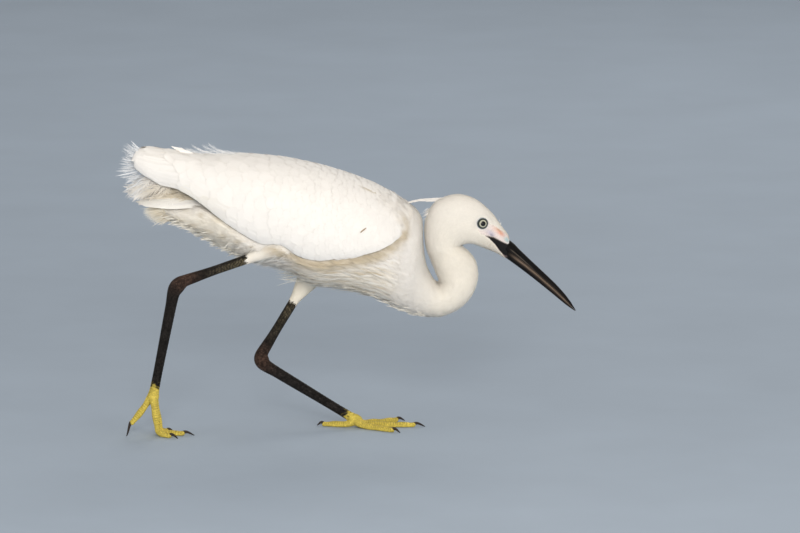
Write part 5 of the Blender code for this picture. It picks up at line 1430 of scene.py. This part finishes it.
HORN_MAT = horn_material("bill_horn", 0.26, 0.42, 0.05)
for label, upper in (("bill_horn_upper", True), ("bill_horn_lower", False)):
    f = np.linspace(0, 1, 230)
    q = -18.0 + (92.9 + 18.0) * (1 - (1 - f) ** 1.25)
    row = along(BILL, q)
    row[:, 1] = np.maximum(row[:, 1], np.interp(q, [-7, -4.5, -1.5, 4, 10, 12], [0, 9.3, 9.8, 9.95, 9.25, 0]))
    seam, far = bill_at(q, row[:, 2]), bill_at(q, row[:, 1] if upper else row[:, 3])
    rise = far - seam
    high = np.maximum(np.linalg.norm(rise, axis=-1), 0.0004)
    rise = rise / high[:, None]
    half = row[:, 4] * MM * (1.0 if upper else 0.9)
    b = np.linspace(0, math.pi, 61)
    flat = np.linspace(-1, 1, 9)[1:-1]
    yy = np.concatenate([power(np.cos(b), 2.25), flat])
    zz = np.concatenate([power(np.sin(b), 2.25), 0 * flat])
    Q, Y, Z = q[:, None], yy[None], zz[None]
    aside = np.abs(Y) > 0.15
    out = 0.0 * Q * Y
    if upper:  # the nasal groove, the nostril in it, the culmen's sides a little hollow
        centre = np.interp(Q, [0, 10, 30, 55], [0.50, 0.52, 0.44, 0.30])
        groove = np.exp(-(((Z - centre) / 0.085) ** 2)) * smooth(Q, -2, 4) * smooth(58 - Q, 0, 16) * aside
        nostril = np.exp(-(((Z - centre - 0.03) / 0.05) ** 2)) * smooth(Q, 7.0, 8.6) * smooth(16.5 - Q, 0, 2.0) * aside
        out = out - 0.32 * MM * groove - 0.55 * MM * nostril
        out = out - 0.20 * MM * np.exp(-(((Z - 0.80) / 0.10) ** 2)) * smooth(Q, 0, 8) * smooth(70 - Q, 0, 20) * aside
    else:
        groove = np.exp(-(((Z - 0.42) / 0.10) ** 2)) * smooth(Q, -2, 6) * smooth(66 - Q, 0, 16) * aside
        nostril = 0.0 * groove
        out = out - 0.22 * MM * groove
    edge = np.exp(-((Z / 0.07) ** 2))
    out = out - 0.16 * MM * edge * aside
    fine = 0.035 * MM * np.sin(Q * 0.9 + 5 * Z + 2 * np.sin(Q * 0.13)) * np.sin(Z * 31) * aside
    width = np.maximum(half[:, None] + out + fine, 0.00012)
    p = seam[:, None] + rise[:, None] * (0.12 * MM + Z[..., None] * np.maximum(high[:, None] - 0.12 * MM, 0.0002)[..., None])
    p = p + np.zeros_like(p)
    p[..., 1] += Y * width
    black, brown, horn = np.array([0.005, 0.0045, 0.0045]), np.array([0.022, 0.016, 0.013]), np.array([0.26, 0.19, 0.14])
    # painted highlight along the tomia, where the edges catch light, over a paler horn tone
    shade_and_gleam_band = np.exp(-((Z / (0.13 if upper else 0.26)) ** 2)) * smooth(Q, 2, 16) * (1 - 0.75 * smooth(Q, 80, 92))
    streak = 0.75 + 0.25 * np.sin(Z * 42 + 1.5 * np.sin(Q * 0.21)) * np.sin(Q * 0.07 + Z * 9)
    w1 = (shade_and_gleam_band * streak * (0.55 if upper else 0.95))[..., None]
    w2 = (smooth(Q, 20, 70) * (0.25 if upper else 0.75) * smooth(Z, 1.1, 0.2))[..., None]
    tint = black * (1 - w2) + brown * w2
    tint = tint * (1 - w1) + horn * w1
    if upper:
        # painted highlight: a paler line along the nasal groove's lower edge
        groove_gleam = (np.exp(-(((Z - np.interp(Q, [0, 10, 30, 55], [0.36, 0.38, 0.30, 0.18])) / 0.05) ** 2)) * smooth(Q, 1, 6) * smooth(40 - Q, 0, 20))[..., None]
        tint = tint * (1 - 0.35 * groove_gleam) + np.array([0.24, 0.20, 0.16]) * 0.35 * groove_gleam
        # painted shade in the nostril
        tint = tint * (1 - 0.8 * nostril[..., None])
    else:
        pink = (smooth(7 - Q, 0, 6) * smooth(Z, 0.35, 0.9))[..., None]
        tint = tint * (1 - 0.7 * pink) + np.array([0.62, 0.46, 0.44]) * 0.7 * pink
    v, t = closed_tube(p)
    tints = np.concatenate([tint.reshape(-1, 3), tint[0, :1], tint[-1, :1]])
    uv = np.concatenate([np.stack([np.broadcast_to(0.02 + 0.96 * f[:, None], Z.shape[:0] + tint.shape[:2]), np.broadcast_to(np.linspace(0.02, 0.98, len(yy))[None], tint.shape[:2])], -1).reshape(-1, 2), [[0.01, 0.5], [0.99, 0.5]]])
    link(label, faced(mesh_of(label, v, t, uv, None, tints)), HORN_MAT, ("bill_upper",) if upper else ("bill_lower",))


# ---------------------------------------------------------------- bare legs and feet
def leg_line(leg, hand):
    """Centre line and radii of the bare leg, from the feathers' end to the toe base."""
    top, ankle, low = leg_points(leg, hand)
    a, b = unit(top - ankle), unit(low - ankle)
    bend = 0.0095
    rows = []
    p0, p1 = ankle + a * bend, ankle + b * bend
    for f in (0.0, 0.16, 0.34, 0.52, 0.70, 0.84):
        rows.append([*(top + (p0 - top) * f), 0.0040 + 0.0003 * (1 - f) + 0.0008 * max(0.0, f - 0.6) / 0.24])
    for f, r in ((0.0, 0.0054), (0.25, 0.0063), (0.5, 0.0068), (0.75, 0.0065), (1.0, 0.0057)):
        rows.append([*(p0 * (1 - f) ** 2 + (ankle * 0.86 + (p0 + p1) * 0.07) * 2 * f * (1 - f) + p1 * f**2), r])
    for f in (0.10, 0.22, 0.40, 0.60, 0.80, 0.93, 1.0):
        rows.append([*(p1 + (low - p1) * f), 0.0052 - 0.0011 * min(1.0, f / 0.7) + 0.0003 * max(0.0, f - 0.8) / 0.2])
    return np.array(rows)


def toe_thick(name, f):
    claw = max(0.0, (f - 0.8) / 0.2)
    if claw:
        return 0.0022 * (1 - claw) ** 0.8 + 0.00045
    return (0.0034 - 0.0011 * f) * (1.0 + 0.09 * math.cos(2 * math.pi * f * (3 if name != "hind" else 2)))


def toe_line(name, base, length, hand, lifted):
    """A toe's centre line from the toe base to the claw's tip, and its radii."""
    yaw = math.radians(TOE_ANGLE[name]) * (1 if hand > 0 else -1)
    ahead = np.array([math.cos(yaw), math.sin(yaw), 0])
    steps, fine = 8, 10
    at = base.copy()
    rows = [[*base, toe_thick(name, 0.0)]]
    for i in range(1, steps * fine + 1):
        f = i / (steps * fine)
        claw = max(0.0, (f - 0.8) / 0.2)
        level = toe_thick(name, f) * 0.95 - SOLE if not claw else toe_thick(name, f) * 0.95 - 0.0003
        room = at[2] - level
        if lifted and name == "hind":
            pitch = math.radians(-58.0 + 14.0 * f)
        else:
            steep, curve = (-80.0, 0.0045) if lifted else (-48.0, 0.005)
            pitch = max(math.radians(steep), -math.asin(max(-0.5, min(1.0, room / curve))))
        at = at + (ahead * math.cos(pitch) + np.array([0, 0, math.sin(pitch)])) * (length / (steps * fine))
        rows.append([*(at + np.array([0, 0, 0.0010 * math.sin(math.pi * claw)])), toe_thick(name, f)])
    return np.array(rows)


def tube(rows, cols, flat, upright=(0.0, 1.0, 0.0), floor_at=None):
    """Rings square to a line of (x, y, z, r) rows."""
    p, r = rows[:, :3], rows[:, 3]
    t = unit(np.gradient(p, axis=0))
    across = unit(np.array(upright) - t * (t @ np.array(upright))[:, None])
    up = np.cross(across, t)
    a = np.linspace(0, 2 * math.pi, cols, endpoint=False)
    ring = p[:, None] + up[:, None] * (np.cos(a)[None] * r[:, None])[..., None] + across[:, None] * (np.sin(a)[None] * r[:, None] * flat)[..., None]
    if floor_at is not None:
        ring[..., 2] = np.maximum(ring[..., 2], floor_at)
    return ring


def leg_material():
    m, tree, b = nodes_of("leg_scales")
    tint = add(tree, "ShaderNodeAttribute", _attribute_name="Tint").outputs["Color"]
    where = add(tree, "ShaderNodeNewGeometry").outputs["Position"]
    cells = add(tree, "ShaderNodeTexVoronoi", Scale=780.0, Randomness=0.75)
    tree.links.new(where, cells.inputs["Vector"])
    edges = add(tree, "ShaderNodeTexVoronoi", Scale=780.0, Randomness=0.75, _feature="DISTANCE_TO_EDGE")
    tree.links.new(where, edges.inputs["Vector"])
    split = add(tree, "ShaderNodeSeparateColor")
    tree.links.new(cells.outputs["Color"], split.inputs[0])
    each = ramp(tree, split.outputs[0], 0.0, 1.0, 0.55, 1.7)
    seams = ramp(tree, edges.outputs["Distance"], 0.0, 0.12, 0.55, 1.0)
    blotch = ramp(tree, noise(tree, where, 160.0, 4.0), 0.3, 0.7, 0.6, 1.5)
    factor = math_node(tree, "MULTIPLY", math_node(tree, "MULTIPLY", each, seams), blotch)
    channels = add(tree, "ShaderNodeSeparateColor")
    tree.links.new(tint, channels.inputs[0])
    calm = ramp(tree, channels.outputs[1], 0.10, 0.38, 1.0, 0.30)  # the yellow feet are more evenly coloured
    factor = math_node(tree, "ADD", math_node(tree, "MULTIPLY", math_node(tree, "SUBTRACT", factor, 1.0), calm), 1.0)
    tree.links.new(times(tree, tint, factor), b.inputs["Base Color"])
    height = math_node(tree, "ADD", ramp(tree, edges.outputs["Distance"], 0.0, 0.18, 0.0, 1.0), math_node(tree, "MULTIPLY", noise(tree, where, 2400.0, 2.0), 0.25))
    bump(tree, b, height, 0.9, 0.00030)
    tree.links.new(ramp(tree, noise(tree, where, 600.0, 2.0), 0.3, 0.7, 0.34, 0.52), b.inputs["Roughness"])
    b.inputs["Specular IOR Level"].default_value = 0.11
    return m


LEG_MAT = leg_material()
for hand, label, leg in ((-1, "right", NEAR_LEG), (1, "left", FAR_LEG)):
    top, ankle, base = leg_points(leg, hand)
    line = leg_line(leg, hand)
    fine = cat(line, np.linspace(-0.9, len(line) - 1, 420))
    up = unit(ankle - base)
    # the tarsus runs on into the pad of the foot
    pad = np.array([[*(base + up * s), r] for s, r in ((0.007, 0.0043), (0.0045, 0.0047), (0.002, 0.0052), (-0.0005, 0.0052), (-0.0028, 0.0046), (-0.0042, 0.0030))])
    pieces = [tube(fine, 40, 0.82), tube(cat(pad, np.linspace(0, 5, 40)), 40, 0.95)]
    samples = [(fine[::3, :3], np.zeros(len(fine[::3])), np.linspace(0, 1, len(fine[::3])))]
    arc = [np.concatenate([[0], np.cumsum(np.linalg.norm(np.diff(fine[::3, :3], axis=0), axis=1))])]
    claws = []
    for k, (toe, length) in enumerate(TOES.items()):
        ahead, aside = {"middle": (0.001, 0.0), "inner": (0.0, -0.0022), "outer": (0.0, 0.0022), "hind": (-0.002, -0.0010)}[toe]
        rows = toe_line(toe, base + np.array([ahead, aside * hand, 0]), length, hand, hand < 0)
        n = len(rows) - 1
        fs = np.linspace(0, 0.865, 150)
        body_rows = cat(rows, fs * n)
        over = np.clip((fs - 0.80) / 0.065, 0, 1)
        body_rows[:, 3] = np.where(fs > 0.80, 0.00245 * np.sqrt(np.clip(1 - over**2, 0.01, 1)) , body_rows[:, 3])
        # pads under the joints
        pieces.append(tube(body_rows, 28, 0.95, (-0.03, 1.0, 0.07), 0.0002))
        samples.append((body_rows[:, :3], np.full(len(fs), k + 1.0), fs))
        arc.append(fs * length)
        cs = np.linspace(0.80, 1.0, 44)
        claw_rows = cat(rows, cs * n)
        c = (cs - 0.80) / 0.20
        r_new = 0.00165 * (1 - c) ** 0.75 + 0.00018
        drop = np.where(claw_rows[:, 2] < 0.012, claw_rows[:, 2] - (r_new + 0.00012), 0.0)
        claw_rows[:, 2] += 0.0011 * np.sin(np.pi * np.clip(c, 0, 1)) - drop * smooth(c, 0.15, 1.0)
        claw_rows[:, 3] = r_new
        claws.append(tube(claw_rows, 20, 0.72, (-0.03, 1.0, 0.07), 0.0001))
    verts, tris, count = [], [], 0
    for rings in pieces:
        v, f = closed_tube(rings)
        verts.append(v), tris.append(f + count)
        count += len(v)
    me = faced(mesh_of("bare_leg_raw_" + label, np.concatenate(verts), np.concatenate(tris)))
    raw = bpy.data.objects.new("bare_leg_raw_" + label, me)
    bpy.context.scene.collection.objects.link(raw)
    mod = raw.modifiers.new("shell", "REMESH")
    mod.mode, mod.voxel_size, mod.use_smooth_shade = "VOXEL", 0.00042, True
    bpy.context.view_layer.update()
    out = bpy.data.meshes.new_from_object(raw.evaluated_get(bpy.context.evaluated_depsgraph_get()))
    bpy.data.objects.remove(raw)
    n = len(out.vertices)
    co = np.empty(n * 3, np.float32)
    out.vertices.foreach_get("co", co)
    co = co.reshape(-1, 3).astype(float)
    edges = np.empty(len(out.edges) * 2, np.int32)
    out.edges.foreach_get("vertices", edges)
    edges = edges.reshape(-1, 2)
    valence = np.bincount(edges.ravel(), minlength=n)[:, None]
    def relax(v, amount):
        total = np.zeros_like(v)
        for axis in range(v.shape[1]):
            total[:, axis] = np.bincount(edges[:, 0], v[edges[:, 1], axis], n) + np.bincount(edges[:, 1], v[edges[:, 0], axis], n)
        return v + (total / valence - v) * amount
    for _ in range(8):
        co = relax(relax(co, 0.6), -0.52)
    tree_pts = np.concatenate([s[0] for s in samples])
    ids, arcs = np.concatenate([s[1] for s in samples]), np.concatenate(arc)
    kd = KDTree(len(tree_pts))
    for i, p in enumerate(tree_pts):
        kd.insert(p, i)
    kd.balance()
    near = np.array([kd.find(p)[1] for p in co])
    tang = np.concatenate([unit(np.gradient(s[0], axis=0)) for s in samples])[near]
    offset = co - tree_pts[near]
    which, s = ids[near], arcs[near] + dot(offset, tang)
    radial = unit(offset - tang * dot(offset, tang)[:, None])
    forward = np.where((which == 0)[:, None], np.array([1.0, 0, 0.25]), np.array([0, 0, 1.0]))
    forward = unit(forward - tang * dot(forward, tang)[:, None])
    front = dot(radial, forward)
    out.vertices.foreach_set("co", co.astype(np.float32).ravel())
    out.update()
    nor = np.empty(n * 3, np.float32)
    out.vertices.foreach_get("normal", nor)
    nor = nor.reshape(-1, 3)
    total_leg = arc[0][-1]
    to_base = np.where(which == 0, total_leg - s, 0.0)
    pitch = np.where(which == 0, 0.0029, 0.00205)
    plate = (s / pitch + 0.12 * np.sin(s * 900)) % 1.0
    seam = np.exp(-((np.minimum(plate, 1 - plate) * pitch / 0.00026) ** 2))
    on_tarsus = smooth(s, 0.062, 0.078)
    amount = np.where(which == 0, smooth(front, 0.30, 0.62) * on_tarsus, smooth(front, -0.05, 0.40) * smooth(s, 0.003, 0.009))
    bulge = np.where(which == 0, 0.05, 0.10) * MM * np.sin(np.pi * plate) * amount
    shift = -0.19 * MM * seam * amount + bulge
    # a groove down each side of the toes, between plates and sole
    shift = shift - np.where(which > 0, 0.10 * MM * np.exp(-(((front + 0.12) / 0.16) ** 2)), 0.0)
    co2 = co + nor * shift[:, None]
    co2[:, 2] = np.maximum(co2[:, 2], 0.00012)
    out.vertices.foreach_set("co", co2.astype(np.float32).ravel())
    # colours
    wobble = np.sin(co[:, 0] * 900 + 2 * np.sin(co[:, 2] * 700)) * np.sin(co[:, 2] * 1100 + co[:, 1] * 800)
    yellow = np.where(which > 0, 1.0, smooth(0.013 + 0.0028 * wobble - to_base, 0.0, 0.006))[:, None]
    dark = np.array([0.014, 0.012, 0.011])
    olive = smooth(0.062 - s, 0.0, 0.06) * (which == 0) * (0.85 if hand < 0 else 0.55)
    speck = smooth(np.sin(co[:, 0] * 2300 + 3 * np.sin(co[:, 2] * 1300)) * np.sin(co[:, 2] * 2600 + co[:, 1] * 1900), -0.2, 0.7)
    # painted shade: the olive kept off the shank's front and back, so its outline reads dark from the side
    olive = olive * (1 - 0.8 * smooth(np.abs(front), 0.62, 0.90)) * (0.12 + 0.88 * speck)
    bare_tone = dark * (1 - olive[:, None]) + np.array([0.20, 0.165, 0.095]) * olive[:, None]
    joint = np.exp(-(((s - 0.067) / 0.012) ** 2)) * (which == 0)
    bare_tone = bare_tone * (1 - 0.6 * joint[:, None]) + np.array([0.075, 0.042, 0.030]) * 0.6 * joint[:, None]
    # painted shade: the toes a tenth darker underneath
    foot_tone = np.array([0.66, 0.52, 0.10]) * (1 - 0.10 * (front < -0.3))[:, None] * (1 - 0.40 * (seam * amount)[:, None])
    tint = bare_tone * (1 - yellow) + foot_tone * yellow
    tint = tint * (1 - 0.35 * (seam * amount * (1 - yellow[:, 0]))[:, None])
    rgba = np.ones((n, 4), np.float32)
    rgba[:, :3] = tint
    out.color_attributes.new(name="Tint", type="FLOAT_COLOR", domain="POINT").data.foreach_set("color", rgba.ravel())
    uv = np.stack([0.02 + 0.19 * which + 0.15 * np.arctan2(np.cross(tang, forward)[:, 1] * 0 + dot(radial, np.cross(tang, forward)), front) / math.pi * 0.5 + 0.08, 0.02 + 0.96 * np.clip(s / np.where(which == 0, total_leg, 0.065), 0, 1)], -1)
    corners = np.empty(len(out.loops), np.int32)
    out.loops.foreach_get("vertex_index", corners)
    out.uv_layers.new(name="OFBake", do_init=False).uv.foreach_set("vector", uv[corners].astype(np.float32).ravel())
    out.name = "bare_leg_" + label
    out.materials.clear()
    out.shade_smooth()
    out.update()
    link("bare_leg_" + label, out, LEG_MAT, ("shank_" + label, "tarsus_" + label, "foot_" + label))
    print("leg triangles", label, sum(len(p.vertices) - 2 for p in out.polygons))
    verts, tris, tints, count = [], [], [], 0
    for rings in claws:
        v, f = closed_tube(rings)
        c = np.concatenate([np.repeat(np.linspace(0, 1, rings.shape[0]), rings.shape[1]), [0, 1]])[:, None]
        tints.append(np.array([0.060, 0.045, 0.036]) * (1 - c) + np.array([0.020, 0.017, 0.016]) * c)
        verts.append(v), tris.append(f + count)
        count += len(v)
    verts = np.concatenate(verts)
    link("claws_" + label, faced(mesh_of("claws_" + label, verts, np.concatenate(tris), np.stack([(verts[:, 0] * 7) % 1, (verts[:, 1] * 9) % 1], -1), None, np.concatenate(tints))), HORN_MAT, ())


# ---------------------------------------------------------------- stage
def area(name, at, to, size, watts, colour=(1, 1, 1)):
    data = bpy.data.lights.new(name, "AREA")
    data.shape, data.size, data.energy, data.color = "DISK", size, watts, colour
    obj = bpy.data.objects.new(name, data)
    bpy.context.scene.collection.objects.link(obj)
    obj.location = at
    obj.rotation_euler = (Vector(to) - Vector(at)).to_track_quat("-Z", "Y").to_euler()
    return obj


floor_me = bpy.data.meshes.new("floor")
floor_me.from_pydata([(-20, -20, 0), (20, -20, 0), (20, 20, 0), (-20, 20, 0)], [], [(0, 1, 2, 3)])
floor = bpy.data.objects.new("floor", floor_me)
bpy.context.scene.collection.objects.link(floor)
m, tree, b = nodes_of("floor_paint")
where = add(tree, "ShaderNodeNewGeometry").outputs["Position"]
shade = ramp(tree, noise(tree, where, 7.0, 5.0), 0.3, 0.7, 0.97, 1.03)
base = add(tree, "ShaderNodeRGB")
base.outputs[0].default_value = (0.42, 0.50, 0.60, 1)
tree.links.new(times(tree, base.outputs[0], shade), b.inputs["Base Color"])
b.inputs["Roughness"].default_value = 0.75
floor_me.materials.append(m)
floor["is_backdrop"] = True

world = bpy.data.worlds.new("studio")
bpy.context.scene.world = world
world.use_nodes = True
world.node_tree.nodes["Background"].inputs["Color"].default_value = (1.0, 0.985, 0.96, 1)
world.node_tree.nodes["Background"].inputs["Strength"].default_value = 0.43
middle = (0.0, 0.0, 0.16)
area("key", (-0.1, -3.1, 1.35), middle, 0.9, 36.5, (1.0, 0.95, 0.89))
area("fill", (1.3, -2.2, 0.30), middle, 1.6, 43.0, (1.0, 0.955, 0.89)).visible_glossy = False
area("back", (0.6, 2.2, 1.8), middle, 1.4, 10.0, (1.0, 0.98, 0.95))
area("rear", (-2.3, -0.9, 0.45), middle, 1.3, 11.0, (1.0, 0.96, 0.90)).visible_glossy = False

bpy.context.scene.view_settings.view_transform = "Standard"
camera = bpy.data.cameras.new("camera")
camera.lens, camera.sensor_width, camera.sensor_fit = 400.0, 36.0, "HORIZONTAL"
camera.clip_start, camera.clip_end = 0.1, 200.0
cam = bpy.data.objects.new("camera", camera)
bpy.context.scene.collection.objects.link(cam)
aim = Vector(((400.0 - U0) * G, 0.0, (V0 - 266.5) * GZ))
el = math.radians(10.0)
cam.location = aim + Vector((0.0, -math.cos(el), math.sin(el))) * 8.0
cam.rotation_euler = (math.radians(80.0), 0.0, 0.0)
bpy.context.scene.camera = cam

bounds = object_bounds()
plain = lambda box: [[float(x) for x in corner] for corner in box]
{"cad": plain(cad_box), "visual": plain(bounds)}
